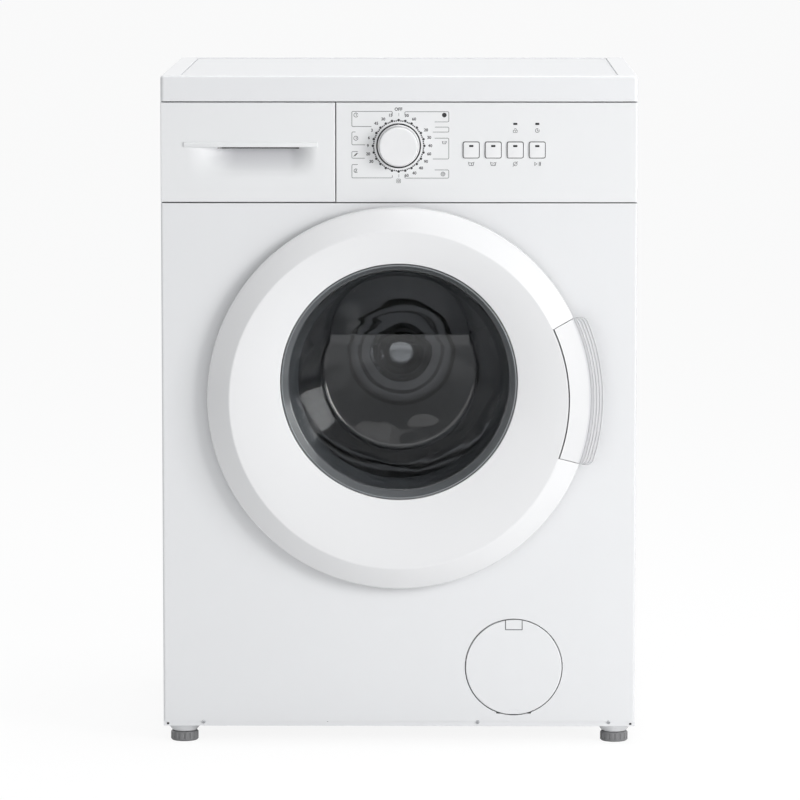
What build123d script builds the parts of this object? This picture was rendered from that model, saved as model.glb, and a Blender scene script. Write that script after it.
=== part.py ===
"""Front load washing machine: cabinet, sprung tub with its drum, door, drawer, controls and pump.

Millimetres. +X is to the right of someone who faces the machine, the front faces -Y and +Z is up.
The origin lies on the floor, under the middle of the overall box. A "depth" is measured backwards
from the front face of the cabinet, so a negative depth stands proud of it. The drum and the parts
stacked round it drive the width, depth and height of the cabinet.
"""
from build123d import *
import os
from math import cos, pi, radians, sin, sqrt

os.makedirs("parts", exist_ok=True)

# Walls and clearances
sheet = 1.2
wall = 2.5
seam = 1.5
running = 0.3
panel_return = 16.0

# Drum, on a fore-and-aft axis
drum_z = 463.4
drum_r = 230.0
drum_mouth_r = 143.0
drum_front = 88.0
drum_long = 250.0
drum_sheet = 1.5
shaft_r = 12.0
drum_back = drum_front + drum_long

# Tub round the drum
tub_gap = 27.0
tub_wall = 3.0
tub_front_depth = 62.0
tub_split_depth = 215.0
tub_back_gap = 24.0
tub_mouth_gap = 7.0
hub_long = 38.0
bearing_r = 31.0
tub_mouth_r = drum_mouth_r + tub_mouth_gap
tub_r = drum_r + tub_gap + tub_wall
tub_back_depth = drum_back + tub_back_gap
hub_end = tub_back_depth + hub_long

# Drive behind the tub
pulley_gap = 18.0
pulley_wide = 14.0
pulley_r = 140.0
motor_pulley_r = 10.0
motor_x = 60.0
motor_drop = 53.4
motor_r = 46.0
pulley_depth = hub_end + pulley_gap
pulley_end = pulley_depth + pulley_wide
motor_z = drum_z - tub_r - motor_drop

# Door, round its own lower centre
door_drop = 22.4
door_inset = 19.0
door_proud = 42.0
door_back = -8.0
door_wall = 3.0
door_edge = -18.0
bevel_wide = 28.0
window_r = 149.0
window_sink = 12.0
bezel_wide = 9.0
bezel_depth = -11.0
glass_thick = 4.0
bowl_end_r = 104.0
bowl_end_depth = 100.0
deflector_rise = 49.0
aperture_gap = 11.0
collar_long = 12.0
door_z = drum_z - door_drop
door_r = tub_r - door_inset
crest_r = door_r - bevel_wide
window_depth = window_sink - door_proud
bezel_r = window_r - bezel_wide
aperture_r = window_r + aperture_gap

# Door hinge and handle
hinge_inset = 10.0
hinge_lead = 5.0
hinge_pin_r = 2.5
hinge_spread = 15.0
hinge_arm_thick = 5.0
handle_from = -19.7
handle_to = 24.9
handle_gap = 1.8
handle_rise = 9.0
lip_reach = 18.0
lip_lead = 1.5
handle_pin_inset = 8.0
handle_pin_sink = 8.0
handle_pin_r = 1.5
hinge_x = hinge_inset - door_r
hinge_depth = door_back - hinge_lead
lip_r = door_r + lip_reach
lip_depth = door_edge - lip_lead
handle_pin_x = crest_r - handle_pin_inset
handle_pin_depth = handle_pin_sink - door_proud
handle_mid_z = door_z + handle_rise

# Cabinet round the tub, and the stack of fascia and worktop over the door
side_room = 38.5
back_room = 47.0
rear_overhang = 18.0
base_bottom = 21.6
plinth_top = 27.5
fascia_gap = 5.0
housing_rise = 43.0
housing_high = 78.0
housing_head = 5.0
worktop_thick = 32.0
worktop_border = 24.0
board_thick = 14.0
half = tub_r + side_room
inner_half = half - sheet
back_depth = pulley_end + back_room
cabinet_depth = back_depth + rear_overhang
front = door_proud - (cabinet_depth + door_proud) / 2
fascia_z = door_z + door_r + fascia_gap
worktop_z = fascia_z + housing_rise + housing_high + housing_head
height = worktop_z + worktop_thick
fascia_top = worktop_z - seam

# Controls
knob_x = -0.6
knob_rise = 70.5
knob_r = 25.0
knob_proud = 20.0
knob_well_r = 27.7
knob_well = 2.0
knob_shaft_r = 3.0
button_size = 20.0
button_pitch = 27.5
button_first_x = 90.2
button_rise = 65.4
button_proud = 2.5
button_travel = 1.2
board_depth = 34.0
board_side = 30.3
knob_z = fascia_z + knob_rise
button_z = fascia_z + button_rise
button_xs = [button_first_x + button_pitch * count for count in range(4)]

# Drawer and dispenser
drawer_width = 219.3
drawer_face_deep = 15.5
scoop_left = 33.5
scoop_right = 23.8
scoop_rise = 30.0
scoop_high = 38.7
scoop_deep = 19.0
housing_left = 8.5
housing_right = 4.8
housing_back = 270.0
tray_clear = 0.6
split_x = drawer_width - half
scoop_x = (scoop_left - half, split_x - scoop_right)
scoop_z = (fascia_z + scoop_rise, fascia_z + scoop_rise + scoop_high)
housing_x = (housing_left - half, split_x - housing_right)
housing_z = (fascia_z + housing_rise, worktop_z - housing_head)

# Pump and its cover
pump_x = 145.0
pump_z = 97.5
pump_r = 38.0
cover_r = 60.7
cover_gap = 1.2
cover_half = 1.5
hinge_lift = 3.0
sump_depth = 95.0
cover_hinge_z = pump_z - cover_r + hinge_lift

# Water and drain connections on the back
inlet_side = 98.5
inlet_drop = 43.0
inlet_stub_r = 13.2
drain_side = 45.0
drain_rise = 22.5
drain_r = 10.0
inlet_x = inlet_side - half
inlet_z = worktop_z - inlet_drop
drain_x = pump_x + drain_side
drain_z = pump_z + drain_rise

# Springs and dampers
spring_side = 39.3
spring_behind = 30.0
hanger_drop = 23.0
damper_x = 150.0
damper_behind = 15.0
spring_x = inner_half - spring_side
spring_depth = housing_back + spring_behind
hanger_z = worktop_z - hanger_drop
damper_depth = tub_split_depth + damper_behind

# Feet
foot_r = 17.5
foot_high = 12.0
foot_inset = 25.5
foot_front = 25.0
foot_back = 33.0
foot_stem_r = 4.0
boss_r = 22.0
foot_x = half - foot_inset
foot_depths = (foot_front, back_depth - foot_back)


def facing(depth, x=0.0, z=0.0):
    """Plane parallel to the front face: its x is X, its y is Z, and it looks forwards."""
    return Plane(origin=(x, front + depth, z), x_dir=(1, 0, 0), z_dir=(0, -1, 0))


def block(x, depth, z):
    """Rectangular solid from its (low, high) x, depth and z."""
    with BuildPart() as body:
        with Locations(((x[0] + x[1]) / 2, front + (depth[0] + depth[1]) / 2, (z[0] + z[1]) / 2)):
            Box(x[1] - x[0], depth[1] - depth[0], z[1] - z[0])
    return body.part


def bar(radius, x, depth, z):
    """Round bar that runs fore and aft between two depths."""
    with BuildPart() as body:
        with BuildSketch(facing(depth[1], x, z)):
            Circle(radius)
        extrude(amount=depth[1] - depth[0])
    return body.part


def post(radius, x, depth, z, top_r=None):
    """Upright round post between two heights, tapered when top_r is given."""
    with BuildPart() as body:
        with BuildSketch(Plane((x, front + depth, z[0]))):
            Circle(radius)
        if top_r:
            with BuildSketch(Plane((x, front + depth, z[1]))):
                Circle(top_r)
            loft(ruled=True)
        else:
            extrude(amount=z[1] - z[0])
    return body.part


def turned(outline, x=0.0, z=drum_z, arc=360.0, start=0.0):
    """Revolve (radius, depth) points about a fore-and-aft axis, clockwise from the start angle."""
    across = (cos(radians(start)), 0, sin(radians(start)))
    upright = (-sin(radians(start)), 0, cos(radians(start)))
    with BuildPart() as body:
        with BuildSketch(Plane(origin=(x, front, z), x_dir=across, z_dir=upright)):
            with BuildLine():
                Polyline(*outline, close=True)
            make_face()
        revolve(axis=Axis((x, front, z), (0, 1, 0)), revolution_arc=arc)
    return body.part


def ring(outer, inner, depth, x=0.0, z=drum_z):
    """Flat ring between two depths."""
    return turned([(inner, depth[0]), (outer, depth[0]), (outer, depth[1]), (inner, depth[1])], x, z)


def save(body, name):
    """Label a finished piece and write it under its own name."""
    body.part.label = name
    export_step(body.part, f"parts/{name}.step")


def tub_rise(x):
    """Height of the tub's skin above or below its axis at a distance from the middle."""
    return sqrt(tub_r**2 - x**2)


# Cabinet sides: C-shaped sheets with a shallow pressed field and a hanger for the tub spring
side_front = panel_return
hanger_thick = 3.0
hanger_half = 12.0
hanger_long = 52.0
spring_hole_r = 5.0
flange = 14.0
press_deep = 4.0
press_corner_r = 30.0
press_margin = 110.0
press_headroom = 150.0
for side, side_name in ((-1, "left"), (1, "right")):
    outer = side * half
    inner = side * inner_half
    middle_y = front + (side_front + back_depth) / 2
    middle_z = (plinth_top + worktop_z) / 2
    field_long = back_depth - side_front - press_margin
    field_high = worktop_z - plinth_top - press_headroom
    with BuildPart() as side_panel:
        add(block(sorted((inner, outer)), (side_front, back_depth - sheet), (plinth_top, worktop_z)))
        folded = sorted((inner, inner - side * flange))
        for flange_depth, flange_top in ((side_front, fascia_z - seam), (back_depth - 2 * sheet, worktop_z)):
            add(block(folded, (flange_depth, flange_depth + sheet), (plinth_top, flange_top)))
        with BuildSketch(Plane((inner, middle_y, middle_z), x_dir=(0, 1, 0), z_dir=(-side, 0, 0))):
            RectangleRounded(field_long, field_high, press_corner_r)
        extrude(amount=press_deep, taper=45)
        with BuildSketch(Plane((outer, middle_y, middle_z), x_dir=(0, 1, 0), z_dir=(-side, 0, 0))):
            RectangleRounded(field_long - sheet, field_high - sheet, press_corner_r)
        extrude(amount=press_deep, taper=45, mode=Mode.SUBTRACT)
        shelf = sorted((inner - side * hanger_long, inner))
        hanger_levels = (hanger_z, hanger_z + hanger_thick)
        add(block(shelf, (spring_depth - hanger_half, spring_depth + hanger_half), hanger_levels))
        hole_levels = (hanger_z - 1, hanger_levels[1] + 1)
        add(post(spring_hole_r, side * spring_x, spring_depth, hole_levels), mode=Mode.SUBTRACT)
    save(side_panel, f"side_panel_{side_name}")

# Front panel: one pressed pan with a drawn collar for the gasket and openings for lock and hinge
cover_hole_r = cover_r + cover_gap
corner_r = 3.0
hinge_relief = 22.0
hinge_relief_z = cover_hinge_z - cover_half - 0.5
lock_inner = 12.0
lock_outer = 17.0
lock_half = 12.0
lock_slot = (handle_pin_x - lock_inner, handle_pin_x + lock_outer)
lock_slot_z = (handle_mid_z - lock_half, handle_mid_z + lock_half)
with BuildPart() as front_panel:
    add(block((-half, half), (0, panel_return), (plinth_top, fascia_z - seam)))
    fillet(front_panel.edges().filter_by(Axis.Z).group_by(Axis.Y)[0], corner_r)
    open_face = front_panel.faces().sort_by(Axis.Y)[-1]
    offset(amount=-sheet, openings=open_face)
    add(bar(aperture_r + sheet, 0, (sheet / 3, collar_long), drum_z))
    add(bar(aperture_r, 0, (-1, collar_long + 1), drum_z), mode=Mode.SUBTRACT)
    add(bar(cover_hole_r, pump_x, (-1, panel_return), pump_z), mode=Mode.SUBTRACT)
    relief_x = (pump_x - hinge_relief, pump_x + hinge_relief)
    add(block(relief_x, (-1, sheet + 1), (hinge_relief_z, pump_z)), mode=Mode.SUBTRACT)
    add(block(lock_slot, (-1, sheet + 1), lock_slot_z), mode=Mode.SUBTRACT)
save(front_panel, "front_panel")

# Back panel: sheet with a large opening at the drive, closed by a bulged cover
service_gap = 25.0
service_lap = 14.0
service_bulge = 12.0
service_slope = 22.0
cap_side = 78.5
cap_below = 253.4
cap_above = 176.6
cap_hole_r = 9.0
cap_rim = 5.0
stiffener_side = 60.0
stiffener_low = 60.0
stiffener_drop = 110.0
stiffener_high = 12.0
service_r = pulley_r + service_gap
cap_xs = (cap_side - half, half - cap_side)
cap_levels = (drum_z - cap_below, drum_z + cap_above)
back_skin = (back_depth - 5, back_depth + 1)
with BuildPart() as back_panel:
    add(block((-half, half), (back_depth - sheet, back_depth), (plinth_top, worktop_z)))
    add(bar(service_r, 0, back_skin, drum_z), mode=Mode.SUBTRACT)
    for cap_z in cap_levels:
        for cap_x in cap_xs:
            add(bar(cap_hole_r, cap_x, back_skin, cap_z), mode=Mode.SUBTRACT)
    add(bar(inlet_stub_r + running, inlet_x, back_skin, inlet_z), mode=Mode.SUBTRACT)
    add(bar(drain_r + running, drain_x, back_skin, drain_z), mode=Mode.SUBTRACT)
    stiffener_x = (stiffener_side - half, half - stiffener_side)
    for rib_z in (plinth_top + stiffener_low, worktop_z - stiffener_drop):
        add(block(stiffener_x, (back_depth, back_depth + 2), (rib_z, rib_z + stiffener_high)))
save(back_panel, "back_panel")

with BuildPart() as back_cover:
    bulge = back_depth + service_bulge
    bend_r = service_r - 8
    add(turned([(0, bulge), (bend_r - service_slope, bulge), (bend_r, back_depth),
                (service_r + service_lap, back_depth), (service_r + service_lap, back_depth + sheet),
                (bend_r + 0.5, back_depth + sheet), (bend_r - service_slope + 0.5, bulge + sheet),
                (0, bulge + sheet)]))
    with BuildSketch(facing(bulge + 3, 0, drum_z)):
        with PolarLocations(bend_r - service_slope - 45, 12):
            SlotOverall(40, 6)
    extrude(amount=5, mode=Mode.SUBTRACT)
save(back_cover, "back_cover")

with BuildPart() as transit_caps:
    for cap_z in cap_levels:
        for cap_x in cap_xs:
            add(bar(cap_hole_r + cap_rim, cap_x, (back_depth, back_depth + 3), cap_z))
            add(bar(cap_hole_r - running, cap_x, (back_depth - 6, back_depth), cap_z))
save(transit_caps, "transit_caps")

# Cross rails that tie the sides together at the top
rail_half = inner_half - running
front_rail = (36.0, 56.0)
front_rail_z = (fascia_z - 20, fascia_z + 6)
rear_rail = (back_depth - 59, back_depth - 34)
rear_rail_high = 22.0
with BuildPart() as front_cross_rail:
    add(block((-rail_half, rail_half), front_rail, front_rail_z))
    channel_z = (front_rail_z[0] + sheet, front_rail_z[1] - sheet)
    add(block((-half, half), (front_rail[0] + sheet, front_rail[1] + 1), channel_z), mode=Mode.SUBTRACT)
save(front_cross_rail, "front_cross_rail")

with BuildPart() as rear_cross_rail:
    add(block((-rail_half, rail_half), rear_rail, (worktop_z - rear_rail_high, worktop_z)))
    angle_z = (worktop_z - rear_rail_high - 1, worktop_z - sheet)
    add(block((-half, half), (rear_rail[0] + sheet, rear_rail[1] + 1), angle_z), mode=Mode.SUBTRACT)
save(rear_cross_rail, "rear_cross_rail")

# Base tray: shallow moulding with ribs and four hollow foot bosses
tray_rim = 4.0
tray_rib_pitch = 90.0
foot_boss_high = 12.0
with BuildPart() as base_tray:
    add(block((-half, half), (0.8, back_depth), (base_bottom, plinth_top)))
    tray_hollow_x = (tray_rim - half, half - tray_rim)
    tray_hollow_depths = (tray_rim + 1, back_depth - tray_rim)
    add(block(tray_hollow_x, tray_hollow_depths, (base_bottom + wall, plinth_top + 1)),
        mode=Mode.SUBTRACT)
    for rib in range(-2, 3):
        rib_x = (rib * tray_rib_pitch - 1.5, rib * tray_rib_pitch + 1.5)
        add(block(rib_x, (tray_rim, back_depth - tray_rim + 1), (base_bottom + 1, plinth_top)))
    for foot_side in (-foot_x, foot_x):
        for foot_depth in foot_depths:
            add(post(foot_r - 2, foot_side, foot_depth, (foot_high + 1, base_bottom), boss_r))
            add(post(foot_stem_r + 4, foot_side, foot_depth, (base_bottom, plinth_top + foot_boss_high)))
            bore = (foot_high, plinth_top + foot_boss_high + 1)
            add(post(foot_stem_r + running, foot_side, foot_depth, bore), mode=Mode.SUBTRACT)
save(base_tray, "base_tray")

# Levelling feet: knurled discs on threaded stems, each with a locknut on its boss
nut_level = plinth_top + foot_boss_high
nut_thick = 5.0
stem_top = nut_level + 22
for lengthwise, foot_depth in zip(("front", "rear"), foot_depths):
    for sideways, foot_side in (("left", -foot_x), ("right", foot_x)):
        with BuildPart() as foot:
            add(post(foot_r, foot_side, foot_depth, (0, foot_high)))
            chamfer(foot.edges().filter_by(GeomType.CIRCLE), 1.5)
            with BuildSketch(Plane((foot_side, front + foot_depth, 3))):
                with PolarLocations(foot_r + 0.8, 16):
                    Circle(2)
            extrude(amount=foot_high - 4.5, mode=Mode.SUBTRACT)
            add(post(foot_stem_r, foot_side, foot_depth, (foot_high, stem_top)))
        save(foot, f"foot_{lengthwise}_{sideways}")

with BuildPart() as foot_nuts:
    with BuildSketch(Plane.XY.offset(nut_level)):
        for foot_side in (-foot_x, foot_x):
            for foot_depth in foot_depths:
                with Locations((foot_side, front + foot_depth)):
                    RegularPolygon(7.5, 6)
                    Circle(foot_stem_r + running, mode=Mode.SUBTRACT)
    extrude(amount=nut_thick)
save(foot_nuts, "foot_nuts")

# Worktop: moulded frame with a laminated board let into it
board_x = half - worktop_border
board_depths = (worktop_border, cabinet_depth - worktop_border)
board_ledge = 6.0
with BuildPart() as worktop_frame:
    add(block((-half, half), (0, cabinet_depth), (worktop_z, height)))
    fillet(worktop_frame.edges().filter_by(Axis.Z), 5)
    fillet(worktop_frame.faces().sort_by(Axis.Z)[-1].edges(), 3)
    add(block((-board_x, board_x), board_depths, (height - board_thick, height + 1)), mode=Mode.SUBTRACT)
    hollow_x = board_x - board_ledge
    hollow_depths = (board_depths[0] + board_ledge, board_depths[1] - board_ledge)
    add(block((-hollow_x, hollow_x), hollow_depths, (worktop_z - 1, height)), mode=Mode.SUBTRACT)
save(worktop_frame, "worktop_frame")

with BuildPart() as worktop_board:
    fit_depths = (board_depths[0] + running, board_depths[1] - running)
    fit_x = board_x - running
    add(block((-fit_x, fit_x), fit_depths, (height - board_thick, height - 1)))
    chamfer(worktop_board.faces().sort_by(Axis.Z)[-1].edges(), 0.8)
save(worktop_board, "worktop_board")

# Control fascia: moulded shell on the right, joined to a frame round the drawer's mouth on the left
knob_bore = knob_shaft_r + running
board_z = (fascia_z + 11, worktop_z - 16)
board_x_span = (knob_x - 47.4, button_xs[-1] + board_side)
boss_inset = 8.0
drawer_hole_x = (housing_x[0] + 1, housing_x[1] - 1)
drawer_hole_z = (fascia_z + 25, fascia_top - 4.5)
frame_depth = (panel_return + running, panel_return + running + wall)
with BuildPart() as control_fascia:
    add(block((split_x + seam / 2, half), (0, panel_return), (fascia_z, fascia_top)))
    fillet(control_fascia.edges().filter_by(Axis.Z).sort_by(Axis.Y)[:2].sort_by(Axis.X)[-1], 3)
    offset(amount=-wall, openings=control_fascia.faces().sort_by(Axis.Y)[-1])
    add(bar(knob_well_r + wall, knob_x, (0, knob_well + wall), knob_z))
    add(bar(knob_well_r, knob_x, (-1, knob_well), knob_z), mode=Mode.SUBTRACT)
    add(bar(knob_bore, knob_x, (-1, panel_return), knob_z), mode=Mode.SUBTRACT)
    with BuildSketch(facing(wall + 1)):
        with Locations(*[(x, button_z) for x in button_xs]):
            RectangleRounded(button_size + 2 * running, button_size + 2 * running, 3)
    extrude(amount=wall + 2, mode=Mode.SUBTRACT)
    for boss_x in (board_x_span[0] + boss_inset, board_x_span[1] - boss_inset):
        for boss_z in (board_z[0] + boss_inset - 1, board_z[1] - boss_inset + 1):
            add(bar(3.5, boss_x, (wall - 0.5, board_depth), boss_z))
    for lug_x in (-30, 130, half - 28.5):
        add(block((lug_x, lug_x + 14), (2, front_rail[0]), (fascia_z, fascia_z + wall)))
    frame_x = (running - inner_half, split_x + seam / 2 + wall)
    add(block(frame_x, frame_depth, (fascia_z, fascia_top)))
    add(block((split_x + seam / 2, frame_x[1]), (1, frame_depth[1]), (fascia_z, fascia_top)))
    add(block(drawer_hole_x, (panel_return, 30), drawer_hole_z), mode=Mode.SUBTRACT)
save(control_fascia, "control_fascia")

# Control board: circuit board with the knob's encoder, four switches and the relays
switch_front = 30.0
with BuildPart() as control_board:
    add(block(board_x_span, (board_depth, board_depth + 1.6), board_z))
    add(bar(9, knob_x, (board_depth - 8, board_depth), knob_z))
    add(bar(knob_bore, knob_x, (board_depth - 9, board_depth - 2), knob_z), mode=Mode.SUBTRACT)
    for button_x in button_xs:
        add(block((button_x - 3, button_x + 3), (switch_front, board_depth), (button_z - 3, button_z + 3)))
    for relay in range(4):
        relay_x = 20 + 32 * relay
        relay_z = (board_z[0] + 17, board_z[0] + 37)
        add(block((relay_x, relay_x + 24), (board_depth + 1.6, board_depth + 17), relay_z))
save(control_board, "control_board")

# Programme knob: cap with a drafted rim and a pointer groove, on a shaft that enters the encoder
with BuildPart() as programme_knob:
    add(turned([(0, -knob_proud), (knob_r - 3, -knob_proud), (knob_r - 1.6, -knob_proud + 1.2),
                (knob_r, knob_well - running), (knob_shaft_r, knob_well - running),
                (knob_shaft_r, board_depth - 3), (0, board_depth - 3)], knob_x, knob_z))
    pointer = (knob_z + knob_r - 8, knob_z + knob_r + 1)
    add(block((knob_x - 0.8, knob_x + 0.8), (-knob_proud - 1, -knob_proud + 1), pointer),
        mode=Mode.SUBTRACT)
save(programme_knob, "programme_knob")

# Push buttons: square caps with a retaining flange and a stem that meets the switch
for number, button_x in enumerate(button_xs, 1):
    with BuildPart() as button:
        with BuildSketch(facing(wall + running, button_x, button_z)):
            RectangleRounded(button_size, button_size, 2.8)
        extrude(amount=wall + running + button_proud)
        fillet(button.faces().sort_by(Axis.Y)[0].edges(), 0.8)
        flange_half = button_size / 2 + 1.2
        add(block((button_x - flange_half, button_x + flange_half),
                  (wall + running, wall + running + 1.5), (button_z - flange_half, button_z + flange_half)))
        stem_end = switch_front - button_travel - running
        add(bar(2, button_x, (wall, stem_end), button_z))
    save(button, f"button_{number}")

# Drawer front: shell with a scooped finger grip under a lip
scoop_low, scoop_top = scoop_z
drawer_right = split_x - seam / 2


def scoop(skin, ends):
    """Body of the finger scoop, grown by a skin on its back and floor and by ends on its sides."""
    start_x, end_x = scoop_x
    with BuildPart() as body:
        with BuildSketch(Plane((start_x - ends, front, 0), x_dir=(0, 1, 0), z_dir=(1, 0, 0))):
            with BuildLine():
                top = Line((-1 + skin, scoop_top + skin), (scoop_deep + skin, scoop_top + skin))
                heel = (scoop_deep * 0.62 + skin, scoop_low + 11 - skin)
                curve = ThreePointArc(top @ 1, heel, (-1 + skin, scoop_low - 1.5 - skin))
                Line(curve @ 1, top @ 0)
            make_face()
        extrude(amount=end_x - start_x + 2 * ends)
    return body.part


lip_high = 6.4
with BuildPart() as drawer_front:
    add(block((-half, drawer_right), (0, drawer_face_deep), (fascia_z, fascia_top)))
    fillet(drawer_front.edges().filter_by(Axis.Z).sort_by(Axis.Y)[:2].sort_by(Axis.X)[0], 3)
    offset(amount=-wall, openings=drawer_front.faces().sort_by(Axis.Y)[-1])
    add(scoop(wall, wall))
    add(block((scoop_x[0] - 4.5, scoop_x[1] + 1.6), (-2, 0.5), (scoop_top, scoop_top + lip_high)))
    fillet(drawer_front.faces().sort_by(Axis.Y)[0].edges(), 1)
    add(scoop(0, 0), mode=Mode.SUBTRACT)
    for boss_x in (housing_x[0] + 30, housing_x[1] - 30):
        add(bar(5, boss_x, (wall - 0.5, frame_depth[1] + 4), fascia_top - 20))
save(drawer_front, "drawer_front")

# Dispenser: open-fronted housing with a spout down to the tub hose
tray_front = frame_depth[1] + 4
spout_x = inlet_x
spout_depth = 190.0
spout_drop = 22.0
spout_r = 14.0
spigot_r = 7.0
spigot_long = 16.0
with BuildPart() as dispenser_housing:
    add(block(housing_x, (frame_depth[1], housing_back), housing_z))
    housing_hollow_x = (housing_x[0] + 2, housing_x[1] - 2)
    housing_hollow_z = (housing_z[0] + 2, housing_z[1] - 2)
    add(block(housing_hollow_x, (0, housing_back - 2), housing_hollow_z), mode=Mode.SUBTRACT)
    add(post(spout_r, spout_x, spout_depth, (housing_z[0] - spout_drop, housing_z[0] + 1)))
    spout_levels = (housing_z[0] - spout_drop - 1, housing_z[0] + 5)
    add(post(spout_r - 2, spout_x, spout_depth, spout_levels), mode=Mode.SUBTRACT)
    add(bar(spigot_r, inlet_x, (housing_back - 1, housing_back + spigot_long), inlet_z))
save(dispenser_housing, "dispenser_housing")

tray_x = (housing_hollow_x[0] + tray_clear, housing_hollow_x[1] - tray_clear)
tray_z = (housing_hollow_z[0] + tray_clear, housing_hollow_z[1] - 8)
tray_depths = (tray_front, housing_back - 12)
compartment = 68.0
divider_xs = (tray_x[0] + compartment, tray_x[0] + 2 * compartment)
with BuildPart() as detergent_tray:
    add(block(tray_x, tray_depths, tray_z))
    edges_x = (tray_x[0], *divider_xs, tray_x[1])
    for left_x, right_x in zip(edges_x[:-1], edges_x[1:]):
        add(block((left_x + 2, right_x - 1), (tray_depths[0] + 2, tray_depths[1] - 2),
                  (tray_z[0] + 2, tray_z[1] + 1)), mode=Mode.SUBTRACT)
save(detergent_tray, "detergent_tray")

siphon_long = 90.0
with BuildPart() as siphon_cap:
    siphon_span = (divider_xs[1] + 2 + running, tray_x[1] - 1 - running)
    siphon_depths = (tray_depths[1] - 2 - siphon_long, tray_depths[1] - 2 - running)
    siphon_x = sum(siphon_span) / 2
    siphon_depth = tray_depths[1] - 50
    siphon_top = tray_z[1] - 8
    add(block(siphon_span, siphon_depths, (siphon_top, siphon_top + 2)))
    add(post(8, siphon_x, siphon_depth, (tray_z[0] + 2 + running, siphon_top)))
    add(post(6, siphon_x, siphon_depth, (tray_z[0], siphon_top - 4)), mode=Mode.SUBTRACT)
save(siphon_cap, "siphon_cap")

# Water inlet valve with its threaded stub through the back panel
back_inner = back_depth - sheet
inlet_reach = 15.0
valve_long = 34.0
with BuildPart() as inlet_valve:
    valve_depths = (back_inner - valve_long, back_inner)
    add(block((inlet_x - 20, inlet_x + 20), valve_depths, (inlet_z - 18, inlet_z + 17)))
    add(bar(inlet_stub_r, inlet_x, (back_inner - 1, back_depth + inlet_reach), inlet_z))
    add(bar(inlet_stub_r + 4, inlet_x, (back_depth, back_depth + 2), inlet_z))
    add(bar(inlet_stub_r - 3, inlet_x, (back_inner - 20, back_depth + 20), inlet_z), mode=Mode.SUBTRACT)
    for coil_x in (inlet_x - 30, inlet_x + 30):
        add(bar(11, coil_x, (back_inner - 32, back_inner - 4), inlet_z))
    add(bar(spigot_r, inlet_x, (valve_depths[0] - spigot_long, valve_depths[0]), inlet_z))
save(inlet_valve, "inlet_valve")

# Hoses that stay with the cabinet: cold water to the dispenser, and the pump's outlet
outlet_end = 112.0
with BuildPart() as water_hoses:
    inlet_run = (housing_back + running, valve_depths[0] - running)
    add(ring(spigot_r + 3, spigot_r + running / 2, inlet_run, inlet_x, inlet_z))
    hose_bore = spigot_r + running / 2
    add(ring(drain_r - 0.5, hose_bore, (outlet_end - 14, back_depth + 16), drain_x, drain_z))
    add(ring(drain_r + 4, hose_bore, (back_depth, back_depth + 2), drain_x, drain_z))
save(water_hoses, "water_hoses")

# Door lock behind the front panel, with a deep pocket for the hook
lock_deep = 36.0
lock_high = 80.0
with BuildPart() as door_lock:
    lock_x = (lock_slot[0] - 6, lock_slot[1] + 6)
    add(block(lock_x, (sheet, lock_deep), (handle_mid_z - lock_high / 2, handle_mid_z + lock_high / 2)))
    add(block(lock_slot, (sheet - 1, lock_deep - 5), lock_slot_z), mode=Mode.SUBTRACT)
save(door_lock, "door_lock")

# Door hinge bracket: a plate on the front panel with two cranked arms round the pin
arm_levels = [door_z - hinge_spread, door_z + hinge_spread]
arm_eye = 5.0
arm_reach = 18.0
arm_half = arm_eye / 2
with BuildPart() as hinge_bracket:
    plate_x = (hinge_x + arm_reach - 9, hinge_x + arm_reach + 12)
    add(block(plate_x, (-2, 0), (door_z - 36, door_z + 36)))
    for level in arm_levels:
        with BuildSketch(Plane.XY.offset(level - hinge_arm_thick / 2)):
            with Locations((hinge_x, front + hinge_depth)):
                Circle(arm_eye)
            with Locations((hinge_x + arm_reach / 2, front + hinge_depth)):
                Rectangle(arm_reach + arm_eye, 2 * arm_half)
            with Locations((hinge_x + arm_reach, front + hinge_depth / 2)):
                Rectangle(2 * arm_half, -hinge_depth + 2 * arm_half)
            with Locations((hinge_x, front + hinge_depth)):
                Circle(hinge_pin_r + running, mode=Mode.SUBTRACT)
        extrude(amount=hinge_arm_thick)
    add(block((-half, 0), (0, 10), (door_z - 40, door_z + 40)), mode=Mode.SUBTRACT)
save(hinge_bracket, "hinge_bracket")

# Door outer frame: a bevelled ring whose face dishes in towards the raised window
bevel_run = crest_r - door_r
bevel_rise = -door_proud - door_edge


def bevel_depth(radius, skin=0.0):
    """Depth of the bevelled ring's face, or of a skin beneath it, at a radius."""
    return door_edge + skin + (radius - door_r) * bevel_rise / bevel_run


def dish(skin, bore):
    """Dish that narrows from the crest to the window, sunk by a skin, with a bore behind it."""
    with BuildPart() as body:
        with BuildSketch(facing(-door_proud + skin, 0, door_z)):
            Circle(crest_r - skin / 2)
        with BuildSketch(facing(window_depth + skin, 0, drum_z)):
            Circle(window_r - skin / 2 + (skin and 2))
        loft(ruled=True)
        if bore:
            add(bar(window_r, 0, (window_depth - 1, 0), drum_z))
            add(bar(crest_r, 0, (-door_proud - 2, -door_proud), door_z))
        else:
            add(bar(crest_r - skin / 2, 0, (-door_proud - 2, -door_proud + skin), door_z))
    return body.part


def handle_space(gap, reach):
    """Sector that the handle takes out of the bevelled ring, grown by a gap all round."""
    spread = gap / door_r * 180 / pi
    return turned([(crest_r, -door_proud - 2), (reach, -door_proud - 2), (reach, 1), (crest_r, 1)],
                  0, door_z, handle_to - handle_from + 2 * spread, handle_to + spread)


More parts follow.
